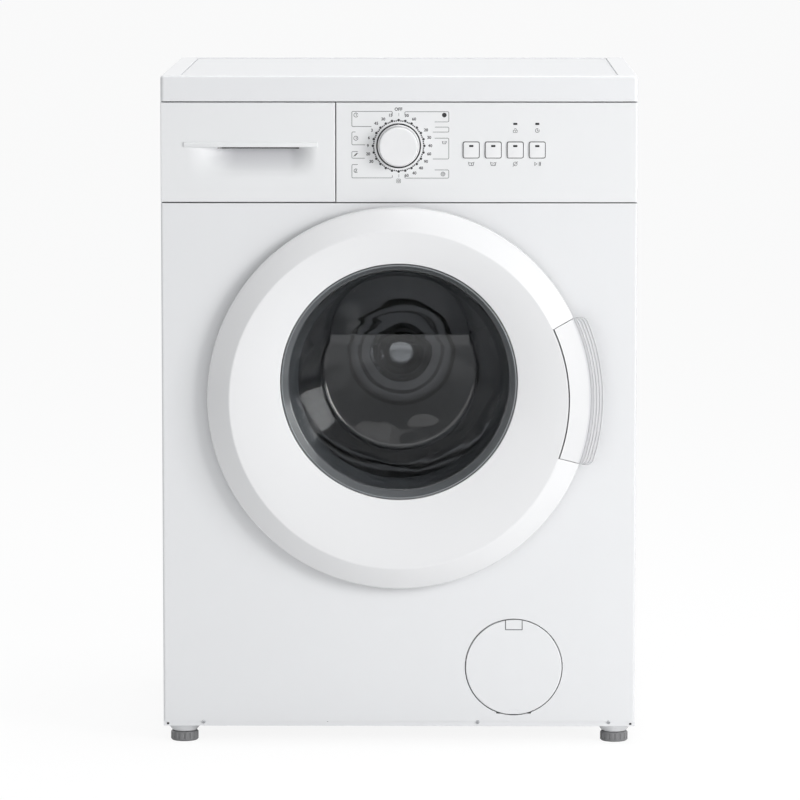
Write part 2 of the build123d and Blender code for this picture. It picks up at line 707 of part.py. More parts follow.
with BuildPart() as door_outer_frame:
    add(turned([(0, door_back), (door_r, door_back), (door_r, door_edge), (crest_r, -door_proud),
                (0, -door_proud)], 0, door_z))
    fillet(door_outer_frame.edges().filter_by(GeomType.CIRCLE).group_by(Axis.Y)[1], 4)
    inner_rim = door_r - door_wall
    with BuildPart(mode=Mode.PRIVATE) as door_hollow:
        hollow_crest = (crest_r - 1, bevel_depth(crest_r - 1, door_wall + 1))
        add(turned([(0, door_back + 1), (inner_rim, door_back + 1), (inner_rim, door_edge + 1),
                    hollow_crest, (0, hollow_crest[1])], 0, door_z))
        add(dish(door_wall, False), mode=Mode.SUBTRACT)
    add(door_hollow.part, mode=Mode.SUBTRACT)
    add(dish(0, True), mode=Mode.SUBTRACT)
    add(handle_space(handle_gap, door_r + 5), mode=Mode.SUBTRACT)
save(door_outer_frame, "door_outer_frame")

# Door inner frame: back plate with a collar for the glass and bosses for both pins
plate_depths = (door_back - 2.5, door_back)
glass_r = window_r + 1
glass_seat = door_back - 1.5
glass_flange = 3.5
boss_side = hinge_pin_r + 2.0
handle_boss_z = (8.0, 16.0)
with BuildPart() as door_inner_frame:
    add(bar(inner_rim - running, 0, plate_depths, door_z))
    collar_front = glass_seat + glass_flange
    add(turned([(0, plate_depths[0]), (glass_r + 4, plate_depths[0]), (glass_r + 4, collar_front + 2.5),
                (0, collar_front + 2.5)]))
    add(turned([(0, plate_depths[0] - 1), (glass_r + running, plate_depths[0] - 1),
                (glass_r + running, collar_front + running), (glass_r - 6, collar_front + running),
                (glass_r - 6, 1), (0, 1)]), mode=Mode.SUBTRACT)
    for low, high in ((-26, -hinge_spread - 3.2), (3.2 - hinge_spread, hinge_spread - 3.2),
                      (hinge_spread + 3.2, 26)):
        boss_span = (door_z + low, door_z + high)
        add(block((hinge_x - boss_side, hinge_x + boss_side),
                  (hinge_depth - boss_side, plate_depths[1]), boss_span))
    for level in arm_levels:
        slot_z = (level - hinge_arm_thick / 2 - 0.7, level + hinge_arm_thick / 2 + 0.7)
        slot_x = (hinge_x - arm_eye - 2, hinge_x + arm_reach + arm_half + 3)
        add(block(slot_x, (hinge_depth - 8, 0), slot_z), mode=Mode.SUBTRACT)
    add(post(hinge_pin_r + running / 3, hinge_x, hinge_depth, (door_z - 29, door_z + 29)),
        mode=Mode.SUBTRACT)
    for side in (-1, 1):
        boss_span = sorted(handle_mid_z + side * edge for edge in handle_boss_z)
        add(block((handle_pin_x - 3.5, handle_pin_x + 3.5),
                  (handle_pin_depth - 2.4, plate_depths[1]), boss_span))
    add(post(handle_pin_r + running / 3, handle_pin_x, handle_pin_depth,
             (handle_mid_z - 20, handle_mid_z + 20)), mode=Mode.SUBTRACT)
    hook_slot = (handle_pin_x - 11, handle_pin_x + 14)
    add(block(hook_slot, (plate_depths[0] - 1, 0), (handle_mid_z - 7.5, handle_mid_z + 7.5)),
        mode=Mode.SUBTRACT)
save(door_inner_frame, "door_inner_frame")

with BuildPart() as door_pins:
    add(post(hinge_pin_r, hinge_x, hinge_depth, (door_z - 30, door_z + 30)))
    add(post(handle_pin_r, handle_pin_x, handle_pin_depth, (handle_mid_z - 26, handle_mid_z + 26)))
save(door_pins, "door_pins")

# Glass bowl: a blown cone with a flat end and a slanted deflector that keeps the washing in
bowl_r = glass_r - 10
deflector_depth = 8.0


def bowl(skin):
    """Bowl's outer form, shrunk by a skin."""
    slant_foot = (-1, bowl_end_depth - skin)
    with BuildPart() as body:
        add(turned([(0, glass_seat - skin), (bowl_r - skin, glass_seat - skin),
                    (bowl_r - skin, collar_front), (bowl_end_r - skin, bowl_end_depth - 6 - skin),
                    (bowl_end_r - 6 - skin, bowl_end_depth - skin), (0, bowl_end_depth - skin)]))
        with BuildSketch(Plane((-200, front, drum_z), x_dir=(0, 1, 0), z_dir=(1, 0, 0))):
            with BuildLine():
                Polyline((bowl_end_depth - skin, deflector_rise - skin / 2),
                         (bowl_end_depth + 5, deflector_rise - skin / 2), (bowl_end_depth + 5, bowl_r + 20),
                         (deflector_depth, bowl_r + 20), (deflector_depth, bowl_r - 8 - skin), close=True)
            make_face()
        extrude(amount=400, mode=Mode.SUBTRACT)
    return body.part


with BuildPart() as door_glass:
    add(bowl(0))
    add(ring(glass_r, bowl_r - 2, (glass_seat, glass_seat + glass_flange)))
    add(bowl(glass_thick), mode=Mode.SUBTRACT)
save(door_glass, "door_glass")

with BuildPart() as door_bezel:
    add(turned([(window_r - running, window_depth), (bezel_r, bezel_depth), (bezel_r, glass_seat),
                (window_r - running, glass_seat)]))
save(door_bezel, "door_bezel")

# Door handle: a sector of the bevelled ring with a ribbed lip, ears on the pin and a hook
rib_count = 5
rib_high = 1.2
rib_first = door_r + 3.0
rib_pitch = 3.2
inner_edge = crest_r + handle_gap
ear_levels = (18.0, 24.0)
hook_half = 5.0
hook_back = 22.0
with BuildPart() as door_handle:
    ribs = []
    for rib in range(rib_count):
        rib_r = rib_first + rib * rib_pitch
        ribs += [(rib_r, lip_depth), (rib_r + 0.8, lip_depth - rib_high), (rib_r + 1.6, lip_depth)]
    under = door_wall + 0.8
    outer_edge = door_r - 0.5
    add(turned([(inner_edge, bevel_depth(inner_edge)), (outer_edge, bevel_depth(outer_edge)),
                (door_r + 1, lip_depth), *ribs, (lip_r, lip_depth), (lip_r, lip_depth + 3.5),
                (door_r + 2, lip_depth + 4), (outer_edge, door_back - 4), (door_r - 3.5, door_back - 4),
                (door_r - 3.5, bevel_depth(door_r - 3.5, under)),
                (inner_edge + 2, bevel_depth(inner_edge + 2, under)),
                (inner_edge, bevel_depth(inner_edge, under))],
               0, door_z, handle_to - handle_from, handle_to))
    front_skin = handle_pin_depth - 2.8
    ear = [(handle_pin_x - 3.5, front_skin), (handle_pin_x + 3, front_skin),
           (handle_pin_x + 10.5, front_skin + 1.6), (handle_pin_x + 16, handle_pin_depth + 2),
           (handle_pin_x + 18, handle_pin_depth + 5.5), (handle_pin_x + 9, handle_pin_depth + 5),
           (handle_pin_x + 3, handle_pin_depth + 3)]
    shank = [(handle_pin_x + 3, hook_back), (handle_pin_x - 3, hook_back),
             (handle_pin_x - 9, hook_back - 5), (handle_pin_x - 9, hook_back - 8),
             (handle_pin_x - 3, hook_back - 8)]
    low_corner = (handle_pin_x - 3.5, handle_pin_depth + 3)
    for outline, low, high in ((ear + [low_corner], -ear_levels[1], -ear_levels[0]),
                               (ear + shank + [low_corner], -hook_half, hook_half),
                               (ear + [low_corner], *ear_levels)):
        with BuildSketch(Plane((0, front, handle_mid_z + low))):
            with BuildLine():
                Polyline(*outline, close=True)
            make_face()
        extrude(amount=high - low)
    add(post(handle_pin_r + running, handle_pin_x, handle_pin_depth,
             (handle_mid_z - 25, handle_mid_z + 25)), mode=Mode.SUBTRACT)
save(door_handle, "door_handle")

# Door gasket: bellows from the panel's collar to the tub's mouth, with a lip under the bowl
bead = 3.0
lip_gap = 1.2
gasket_lip_depth = 26.0
bowl_slope = (bowl_r - bowl_end_r) / (bowl_end_depth - 6 - collar_front)
lip_inner = bowl_r - bowl_slope * (gasket_lip_depth - collar_front) + lip_gap
mouth_r = tub_mouth_r + tub_wall
with BuildPart() as door_gasket:
    add(turned([(aperture_r - running - bead, -1.5), (aperture_r - running, -1.5),
                (aperture_r - running, collar_long + running), (aperture_r + 5, collar_long + running),
                (aperture_r + 5, collar_long + 4), (aperture_r - 4, collar_long + 6),
                (lip_inner + 3, gasket_lip_depth + 4), (lip_inner + 5, gasket_lip_depth + 8),
                (mouth_r + 4, tub_front_depth - 12), (mouth_r + 5, tub_front_depth - 4),
                (mouth_r + 4, tub_front_depth + 2), (mouth_r + running, tub_front_depth + 2),
                (mouth_r + running, tub_front_depth - 8), (lip_inner + 2, gasket_lip_depth + 12),
                (lip_inner, gasket_lip_depth), (aperture_r - running - bead, collar_long)]))
save(door_gasket, "door_gasket")

with BuildPart() as gasket_clamp:
    clamp_r = mouth_r + 5
    add(ring(clamp_r + 1.5, clamp_r + running, (tub_front_depth - 3, tub_front_depth + 1)))
save(gasket_clamp, "gasket_clamp")

# Tub: two moulded halves bolted at a flange, with lugs for springs, dampers and motor
tub_inner = tub_r - tub_wall
flange_r = tub_r + 8
front_wall = tub_front_depth + 3
motor_ahead = 100.0
motor_behind = 23.0
heater_gap = 15.0
heater_x = 30.0
heater_r = 4.0
lug_rise = 106.6
lug_thick = 10.0
lug_overhang = 19.0
sump_drop = 29.6
spout_lift = 42.5
motor_depths = (tub_back_depth - motor_ahead, tub_back_depth + motor_behind)
heater_z = drum_z - drum_r - heater_gap
damper_lug_z = drum_z - tub_rise(damper_x) - lug_overhang
sump_spigot_low = drum_z - tub_rise(pump_x) - sump_drop
spout_spigot_top = drum_z + tub_rise(spout_x) + spout_lift
lug_levels = (drum_z + lug_rise, drum_z + lug_rise + lug_thick)
with BuildPart() as tub_front:
    add(turned([(0, front_wall), (tub_r - 6, front_wall), (tub_r, front_wall + 6),
                (tub_r, tub_split_depth - 8), (flange_r, tub_split_depth - 8), (flange_r, tub_split_depth),
                (0, tub_split_depth)]))
    add(bar(mouth_r, 0, (tub_front_depth - 4, front_wall), drum_z))
    sump_top = drum_z - tub_rise(pump_x) + 52
    add(post(16, pump_x, sump_depth, (sump_spigot_low, sump_top)))
    add(post(spout_r, spout_x, spout_depth, (spout_spigot_top - 72, spout_spigot_top)))
    add(turned([(0, front_wall + tub_wall), (tub_inner - 5, front_wall + tub_wall),
                (tub_inner, front_wall + tub_wall + 5), (tub_inner, tub_split_depth + 1),
                (0, tub_split_depth + 1)]), mode=Mode.SUBTRACT)
    add(bar(tub_mouth_r, 0, (0, tub_split_depth), drum_z), mode=Mode.SUBTRACT)
    add(post(13, pump_x, sump_depth, (sump_spigot_low - 1, sump_top)), mode=Mode.SUBTRACT)
    spout_bore = (spout_spigot_top - 112, spout_spigot_top + 1)
    add(post(spout_r - 3, spout_x, spout_depth, spout_bore), mode=Mode.SUBTRACT)
save(tub_front, "tub_front")

back_rib_start = 45.0
with BuildPart() as tub_rear:
    add(turned([(0, tub_split_depth), (flange_r, tub_split_depth), (flange_r, tub_split_depth + 8),
                (tub_r, tub_split_depth + 8), (tub_r, tub_back_depth - 6), (tub_r - 6, tub_back_depth),
                (bearing_r + 19, tub_back_depth), (bearing_r + 15, hub_end), (0, hub_end)]))
    for side in (-1, 1):
        spring_lug = sorted((side * (spring_x - 30), side * (spring_x + 12)))
        add(block(spring_lug, (spring_depth - 9, spring_depth + 9), lug_levels))
        damper_lug = sorted((side * (damper_x - 9), side * (damper_x + 9)))
        damper_lug_levels = (damper_lug_z, damper_lug_z + 2 * lug_overhang)
        add(block(damper_lug, (damper_depth - 7, damper_depth + 7), damper_lug_levels))
    saddle_top = drum_z - tub_rise(motor_x) + 15.6
    add(block((motor_x - 34, motor_x + 34), (motor_depths[0] + 12, motor_depths[1] - 30),
              (motor_z + 20, saddle_top)))
    with BuildSketch(facing(tub_back_depth + 12, 0, drum_z)):
        with PolarLocations((back_rib_start + tub_r - 15) / 2, 12, start_angle=15):
            Rectangle(tub_r - 15 - back_rib_start, 3)
    extrude(amount=14)
    add(turned([(0, tub_split_depth - 1), (tub_inner, tub_split_depth - 1),
                (tub_inner, tub_back_depth - 8), (tub_inner - 6, tub_back_depth - tub_wall),
                (0, tub_back_depth - tub_wall)]), mode=Mode.SUBTRACT)
    add(bar(bearing_r, 0, (tub_split_depth, hub_end + 1), drum_z), mode=Mode.SUBTRACT)
    add(bar(motor_r + running, motor_x, (tub_split_depth + 9, hub_end), motor_z), mode=Mode.SUBTRACT)
    for side in (-1, 1):
        lug_hole = (lug_levels[0] - 1, lug_levels[1] + 1)
        add(post(5, side * spring_x, spring_depth, lug_hole), mode=Mode.SUBTRACT)
        rod_hole = (tub_back_depth - 10, tub_back_depth + 30)
        add(bar(heater_r + running, side * heater_x, rod_hole, heater_z), mode=Mode.SUBTRACT)
save(tub_rear, "tub_rear")

# Counterweights: a lower ring segment in front and a block on top of the tub
weight_front = 36.0
weight_inner = mouth_r + 15
with BuildPart() as counterweight_front:
    add(turned([(weight_inner, weight_front), (tub_r - 8, weight_front), (tub_r - 8, front_wall),
                (weight_inner, front_wall)], 0, drum_z, 110, -35))
save(counterweight_front, "counterweight_front")

with BuildPart() as counterweight_top:
    weight_depths = (tub_split_depth - 105, tub_split_depth + 35)
    add(block((-60, 180), weight_depths, (drum_z + tub_r - 40, worktop_z - 18)))
    fillet(counterweight_top.edges().filter_by(Axis.Z), 12)
    add(bar(tub_r + running, 0, (weight_depths[0] - 10, weight_depths[1] + 10), drum_z),
        mode=Mode.SUBTRACT)
    flange_room = (tub_split_depth - 9, tub_split_depth + 9)
    add(bar(flange_r + 1, 0, flange_room, drum_z), mode=Mode.SUBTRACT)
save(counterweight_top, "counterweight_top")

# Heater: hairpin rod in the bottom of the tub with its plate outside the rear wall
heater_front = 130.0
with BuildPart() as heater:
    for side in (-1, 1):
        add(bar(heater_r, side * heater_x, (heater_front, tub_back_depth + 14), heater_z))
    with BuildSketch(facing(heater_front, heater_x, heater_z)):
        Circle(heater_r)
    revolve(axis=Axis((0, front + heater_front, heater_z), (0, 0, 1)), revolution_arc=-180)
    add(block((-heater_x - 14, heater_x + 14), (tub_back_depth, tub_back_depth + 4),
              (heater_z - 8, heater_z + 16)))
save(heater, "heater")

# Drum: shell with a rolled mouth, three lifters, and a spider that carries the shaft
drum_inner = drum_r - drum_sheet
drum_bend = 12.0
mouth_roll = 7.0
lifter_count = 3
lifter_high = 45.0
lifter_half = 34.0
with BuildPart() as drum_shell:
    inner_bend = drum_bend + 0.4 * drum_sheet
    add(turned([(drum_mouth_r, drum_front), (drum_r - drum_bend, drum_front),
                (drum_r, drum_front + drum_bend), (drum_r, drum_back), (0, drum_back),
                (0, drum_back - drum_sheet), (drum_inner, drum_back - drum_sheet),
                (drum_inner, drum_front + inner_bend), (drum_r - inner_bend, drum_front + drum_sheet),
                (drum_mouth_r + 3, drum_front + drum_sheet), (drum_mouth_r + 3, drum_front + mouth_roll),
                (drum_mouth_r, drum_front + mouth_roll)]))
save(drum_shell, "drum_shell")

with BuildPart() as drum_lifters:
    lifter_depths = (drum_front + 22, drum_back - drum_sheet - running)
    foot_in = drum_inner + 4
    for turn in range(lifter_count):
        angle = radians(90 + 360 * turn / lifter_count)
        outward = (cos(angle), 0, sin(angle))
        lifter_plane = Plane((0, front + lifter_depths[1], drum_z), x_dir=outward, z_dir=(0, -1, 0))
        with BuildSketch(lifter_plane):
            with BuildLine():
                crown = foot_in - lifter_high
                Polyline((foot_in, -lifter_half), (crown + 10, -11), (crown, -6), (crown, 6),
                         (crown + 10, 11), (foot_in, lifter_half), close=True)
            make_face()
        extrude(amount=lifter_depths[1] - lifter_depths[0], taper=3)
    add(bar(drum_inner - running / 3, 0, (drum_front, drum_back), drum_z), mode=Mode.INTERSECT)
save(drum_lifters, "drum_lifters")

spider_reach = drum_r - 48
with BuildPart() as drum_spider:
    add(turned([(0, drum_back), (40, drum_back), (28, drum_back + 14), (shaft_r, drum_back + 18),
                (shaft_r, pulley_end + 8), (0, pulley_end + 8)]))
    with BuildSketch(facing(drum_back + 9, 0, drum_z)):
        with PolarLocations(20, lifter_count, start_angle=90):
            Polygon((0, -24), (spider_reach - 7, -11), (spider_reach, 0), (spider_reach - 7, 11),
                    (0, 24), align=None)
        Circle(34)
    extrude(amount=9)
save(drum_spider, "drum_spider")

with BuildPart() as shaft_bearings:
    for race_start in (tub_back_depth - 1, hub_end - 15):
        add(ring(bearing_r - running / 3, shaft_r + running, (race_start, race_start + 14)))
save(shaft_bearings, "shaft_bearings")

# Drive: spoked pulley on the drum shaft, a small one on the motor and the belt round both
with BuildPart() as drum_pulley:
    add(ring(pulley_r, pulley_r - 9, (pulley_depth, pulley_end)))
    add(ring(24, shaft_r + running / 3, (pulley_depth - 8, pulley_end + 2)))
    with BuildSketch(facing(pulley_end - 3, 0, drum_z)):
        with PolarLocations((pulley_r + 14) / 2, 6):
            Rectangle(pulley_r - 30, 16)
    extrude(amount=pulley_wide - 6)
save(drum_pulley, "drum_pulley")

motor_shaft_r = 6.0
with BuildPart() as motor:
    add(bar(motor_r, motor_x, motor_depths, motor_z))
    fillet(motor.edges().filter_by(GeomType.CIRCLE), 5)
    add(bar(15, motor_x, (motor_depths[1] - 1, motor_depths[1] + 10), motor_z))
    add(bar(motor_shaft_r + running, motor_x, (motor_depths[0] + 30, motor_depths[1] + 15), motor_z),
        mode=Mode.SUBTRACT)
save(motor, "motor")

with BuildPart() as motor_pulley:
    add(bar(motor_shaft_r, motor_x, (motor_depths[0] + 34, pulley_end + 4), motor_z))
    add(bar(motor_pulley_r, motor_x, (pulley_depth - 2, pulley_end + 2), motor_z))
    for rim in (pulley_depth - 2, pulley_end):
        add(bar(motor_pulley_r + 4, motor_x, (rim, rim + 2), motor_z))
save(motor_pulley, "motor_pulley")

belt_thick = 3.0
with BuildPart() as drive_belt:
    with BuildSketch(facing(pulley_end - 1, 0, 0)):
        for grow, mode in ((running + belt_thick, Mode.ADD), (running, Mode.SUBTRACT)):
            with BuildSketch(facing(pulley_end - 1, 0, 0), mode=Mode.PRIVATE) as loop:
                with Locations((0, drum_z)):
                    Circle(pulley_r + grow)
                with Locations((motor_x, motor_z)):
                    Circle(motor_pulley_r + grow)
                make_hull()
            add(loop.sketch_local, mode=mode)
    extrude(amount=pulley_wide - 2)
save(drive_belt, "drive_belt")

# Suspension: coil springs between hanger and lug, each ending in a headed stem at both ends
coil_r = 9.0
wire_r = 1.6
coil_turns = 9
stem_r = 4.0
head_r = 8.0
with BuildPart() as suspension_springs:
    for side in (-1, 1):
        x = side * spring_x
        low, high = lug_levels[1] + 4, hanger_z - 4
        head_top = lug_levels[0] - running
        add(post(stem_r, x, spring_depth, (head_top - 3, low)))
        add(post(head_r, x, spring_depth, (head_top - 3, head_top)))
        add(post(coil_r + 1, x, spring_depth, (low, low + 3)))
        add(post(stem_r, x, spring_depth, (high, hanger_z + hanger_thick + 3)))
        hanger_top = hanger_z + hanger_thick + running
        add(post(head_r, x, spring_depth, (hanger_top, hanger_top + 3)))
        add(post(coil_r + 1, x, spring_depth, (high - 3, high)))
        coil_long = high - low - 4
        with BuildLine(Plane((x, front + spring_depth, low + 2))):
            Helix(coil_long / coil_turns, coil_long, coil_r - wire_r)
        with BuildSketch(Plane((x + coil_r - wire_r, front + spring_depth, low + 2), z_dir=(0, 1, 0.1))):
            Circle(wire_r)
        sweep()
save(suspension_springs, "suspension_springs")

# Dampers: cylinders on the base tray and piston rods on the tub
floor_top = base_bottom + wall
damper_r = 15.0
damper_bore = 11.5
rod_r = 5.0
damper_top = 175.0
with BuildPart() as damper_cylinders:
    for side in (-1, 1):
        x = side * damper_x
        add(post(damper_r, x, damper_depth, (floor_top, damper_top)))
        add(post(damper_bore, x, damper_depth, (floor_top + 8, damper_top - 4)), mode=Mode.SUBTRACT)
        add(post(rod_r + running, x, damper_depth, (damper_top - 5, damper_top + 1)), mode=Mode.SUBTRACT)
save(damper_cylinders, "damper_cylinders")

with BuildPart() as damper_rods:
    for side in (-1, 1):
        x = side * damper_x
        add(post(rod_r, x, damper_depth, (118, damper_lug_z)))
        add(post(damper_bore - running, x, damper_depth, (112, 130)))
save(damper_rods, "damper_rods")

# Pump: volute with a dished front, filter neck, motor and spigots, standing on the base tray
neck_r = pump_r - 5
dish_depths = (10.0, 13.0)
hinge_z = cover_hinge_z
inlet_top = pump_z + 67.5
cover_pin_r = 1.2
with BuildPart() as drain_pump:
    add(turned([(0, dish_depths[0]), (cover_r - 3, dish_depths[0]), (cover_r - 3, dish_depths[1]),
                (pump_r + 5, dish_depths[1] + 2), (pump_r, dish_depths[1] + 10), (pump_r, 104),
                (28, 110), (28, 180), (0, 184)], pump_x, pump_z))
    add(post(16, pump_x, sump_depth, (pump_z + 20, inlet_top)))
    add(bar(spigot_r, drain_x, (72, outlet_end), drain_z))
    add(block((pump_x, drain_x + spigot_r), (72, 92), (drain_z - spigot_r, drain_z + spigot_r)))
    add(block((pump_x - 26, pump_x + 26), (40, 100), (floor_top, pump_z - 20)))
    add(block((pump_x - 4.8, pump_x + 4.8), (-1.4, dish_depths[0] + 1), (hinge_z - 2.2, hinge_z + 2.2)))
    add(bar(neck_r, pump_x, (dish_depths[0] - 1, 88), pump_z), mode=Mode.SUBTRACT)
    add(post(13, pump_x, sump_depth, (pump_z + 12, inlet_top + 1)), mode=Mode.SUBTRACT)
    with BuildSketch(Plane((pump_x - 6, front, hinge_z), x_dir=(0, 1, 0), z_dir=(1, 0, 0))):
        Circle(cover_pin_r + running)
    extrude(amount=12, mode=Mode.SUBTRACT)
save(drain_pump, "drain_pump")

strainer_slots = 10
with BuildPart() as pump_filter:
    add(turned([(0, 7), (29, 7), (29, 10), (neck_r - running, 12), (neck_r - running, 24), (24, 26),
                (24, 78), (0, 78)], pump_x, pump_z))
    add(block((pump_x - 4, pump_x + 4), (3.5, 8), (pump_z - 25, pump_z + 25)))
    add(bar(21, pump_x, (30, 79), pump_z), mode=Mode.SUBTRACT)
    with BuildSketch(facing(72, pump_x, pump_z)):
        with PolarLocations(22, strainer_slots):
            Rectangle(8, 6)
    extrude(amount=36, mode=Mode.SUBTRACT)
save(pump_filter, "pump_filter")

# Filter cover: round door on a lower hinge, with a sprung tab at the top
with BuildPart() as filter_cover:
    add(turned([(0, -cover_half), (cover_r - 1, -cover_half), (cover_r, 1 - cover_half),
                (cover_r, cover_half), (cover_r - 3, cover_half), (cover_r - 3, 0.4), (0, 0.4)],
               pump_x, pump_z))
    add(block((pump_x - 5.5, pump_x + 5.5), (-3, 3), (pump_z - cover_r - 1, hinge_z + 3.2)),
        mode=Mode.SUBTRACT)
    with BuildSketch(Plane((pump_x - 9, front, hinge_z), x_dir=(0, 1, 0), z_dir=(1, 0, 0))):
        Circle(cover_pin_r)
    extrude(amount=18)
    tab_z = (pump_z + cover_r - 13, pump_z + cover_r + 1)
    for slot_x in (pump_x - 11, pump_x + 10):
        add(block((slot_x, slot_x + 1), (-3, 3), tab_z), mode=Mode.SUBTRACT)
    add(block((pump_x - 7, pump_x + 7), (0.2, 5), (pump_z + cover_r - 9, pump_z + cover_r - 6)))
save(filter_cover, "filter_cover")

# Bellows that follow the tub: sump to pump, and dispenser to tub
with BuildPart() as tub_hoses:
    for x, depth, radius, low, high in ((pump_x, sump_depth, 16, inlet_top - 15, sump_spigot_low + 14),
                                        (spout_x, spout_depth, spout_r, spout_spigot_top - 14,
                                         housing_z[0] - 8)):
        with BuildSketch(Plane((x, front + depth, 0), x_dir=(1, 0, 0), z_dir=(0, -1, 0))):
            with BuildLine():
                inner = radius + running
                count = round((high - low) / 10)
                fold = (high - low) / count
                crests = []
                for turn in range(count):
                    base = low + turn * fold
                    crests += [(inner + 2, base), (inner + 5, base + fold / 2)]
                Polyline((inner, low), *crests, (inner + 2, high), (inner, high), close=True)
            make_face()
        revolve(axis=Axis((x, front + depth, 0), (0, 0, 1)))
save(tub_hoses, "tub_hoses")
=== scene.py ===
import math
from math import cos, pi, radians, sin

import bmesh
import bpy
from mathutils import Matrix, Vector


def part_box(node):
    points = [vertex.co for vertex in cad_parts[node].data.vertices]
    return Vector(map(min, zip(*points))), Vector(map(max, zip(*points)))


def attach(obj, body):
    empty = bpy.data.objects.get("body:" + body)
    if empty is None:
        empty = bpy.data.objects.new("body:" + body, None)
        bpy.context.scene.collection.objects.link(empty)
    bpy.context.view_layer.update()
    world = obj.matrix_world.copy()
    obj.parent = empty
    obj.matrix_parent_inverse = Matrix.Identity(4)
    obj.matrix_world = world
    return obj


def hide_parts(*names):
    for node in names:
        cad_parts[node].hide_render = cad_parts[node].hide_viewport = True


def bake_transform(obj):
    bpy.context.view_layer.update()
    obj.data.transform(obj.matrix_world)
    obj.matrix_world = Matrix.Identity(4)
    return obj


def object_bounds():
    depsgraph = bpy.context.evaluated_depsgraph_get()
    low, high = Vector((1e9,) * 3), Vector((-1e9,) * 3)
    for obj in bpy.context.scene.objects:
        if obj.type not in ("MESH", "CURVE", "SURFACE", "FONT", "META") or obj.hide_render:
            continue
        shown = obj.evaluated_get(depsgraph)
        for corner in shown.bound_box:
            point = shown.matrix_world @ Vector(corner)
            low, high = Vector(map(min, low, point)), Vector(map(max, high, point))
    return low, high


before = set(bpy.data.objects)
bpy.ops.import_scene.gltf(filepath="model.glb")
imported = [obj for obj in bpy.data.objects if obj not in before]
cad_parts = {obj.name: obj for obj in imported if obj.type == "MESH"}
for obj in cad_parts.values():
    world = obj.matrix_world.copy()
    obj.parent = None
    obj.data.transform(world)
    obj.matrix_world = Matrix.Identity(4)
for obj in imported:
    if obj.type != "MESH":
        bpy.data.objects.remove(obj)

cad_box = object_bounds()

# ---------------------------------------------------------------- Room
# The machine stands on a pale seamless floor and is lit by a big soft box on its right, weaker
# ones on its left and overhead, and a bright sky. The camera is far off, a little above the lid,
# and looks down.
low, high = cad_box
middle = (low + high) / 2
front_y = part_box("front_panel")[0].y
scene = bpy.context.scene
scene.view_settings.view_transform = "Standard"

camera_data = bpy.data.cameras.new("camera")
camera_data.lens = 223
camera_data.clip_end = 60
camera = bpy.data.objects.new("camera", camera_data)
scene.collection.objects.link(camera)
camera.location = (0.053, front_y - 6.191, 1.157)
camera.rotation_euler = (pi / 2 - radians(6.628), 0, radians(0.48))
scene.camera = camera


def soft_box(name, place, size, watts):
    """A square area lamp at a place, turned towards the middle of the machine."""
    lamp = bpy.data.lights.new(name, "AREA")
    lamp.size = size
    lamp.energy = watts
    lamp_object = bpy.data.objects.new(name, lamp)
    lamp_object.location = place
    lamp_object.rotation_mode = "QUATERNION"
    lamp_object.rotation_quaternion = (middle - Vector(place)).to_track_quat("-Z", "Y")
    scene.collection.objects.link(lamp_object)


soft_box("key_lamp", (2.55, -2.45, 1.25), 1.5, 62)
soft_box("fill_lamp", (-2.6, -4.4, 1.6), 2.4, 13)
soft_box("top_lamp", (0.3, 0.1, 3.4), 1.6, 35)


def add_node(tree, kind, **values):
    """A node in a tree; words that aren't its own settings are the names of its inputs."""
    node = tree.nodes.new(kind)
    for label, value in values.items():
        if hasattr(node, label):
            setattr(node, label, value)
        else:
            node.inputs[label.replace("_", " ")].default_value = value
    return node


def linked(tree, *links):
    """Joins nodes of a tree: each link is a node, its output, the next node and its input."""
    for source, leaving, target, entering in links:
        tree.links.new(source.outputs[leaving], target.inputs[entering])


# The sky is dimmer for the light that it sheds than where it is seen, mirrored or looked through.
world = bpy.data.worlds.new("studio")
scene.world = world
world.use_nodes = True
sky = world.node_tree
sky.nodes.clear()
sky_out = add_node(sky, "ShaderNodeOutputWorld")
sky_mix = add_node(sky, "ShaderNodeMixShader")
soft_sky = add_node(sky, "ShaderNodeBackground", Color=(0.97, 0.985, 1.0, 1), Strength=0.46)
white_sky = add_node(sky, "ShaderNodeBackground", Color=(1, 1, 1, 1), Strength=1.0)
rays = add_node(sky, "ShaderNodeLightPath")
seen_or_mirrored = add_node(sky, "ShaderNodeMath", operation="MAXIMUM")
seen_at_all = add_node(sky, "ShaderNodeMath", operation="MAXIMUM")
linked(sky, (rays, "Is Camera Ray", seen_or_mirrored, 0), (rays, "Is Glossy Ray", seen_or_mirrored, 1),
       (seen_or_mirrored, 0, seen_at_all, 0), (rays, "Is Transmission Ray", seen_at_all, 1),
       (seen_at_all, 0, sky_mix, "Fac"), (soft_sky, 0, sky_mix, 1), (white_sky, 0, sky_mix, 2),
       (sky_mix, 0, sky_out, "Surface"))

floor_material = bpy.data.materials.new("pale_floor")
floor_material.use_nodes = True
floor_tree = floor_material.node_tree
floor_tree.nodes.clear()
floor_out = add_node(floor_tree, "ShaderNodeOutputMaterial")
floor_mix = add_node(floor_tree, "ShaderNodeMixShader")
floor_paint = add_node(floor_tree, "ShaderNodeBsdfDiffuse", Color=(0.9, 0.9, 0.9, 1))
floor_glow = add_node(floor_tree, "ShaderNodeEmission", Strength=1.04)
floor_seen = add_node(floor_tree, "ShaderNodeLightPath")
floor_share = add_node(floor_tree, "ShaderNodeMath", operation="MULTIPLY")
floor_share.inputs[1].default_value = 0.86
linked(floor_tree, (floor_seen, "Is Camera Ray", floor_share, 0), (floor_share, 0, floor_mix, "Fac"),
       (floor_paint, 0, floor_mix, 1), (floor_glow, 0, floor_mix, 2), (floor_mix, 0, floor_out, "Surface"))

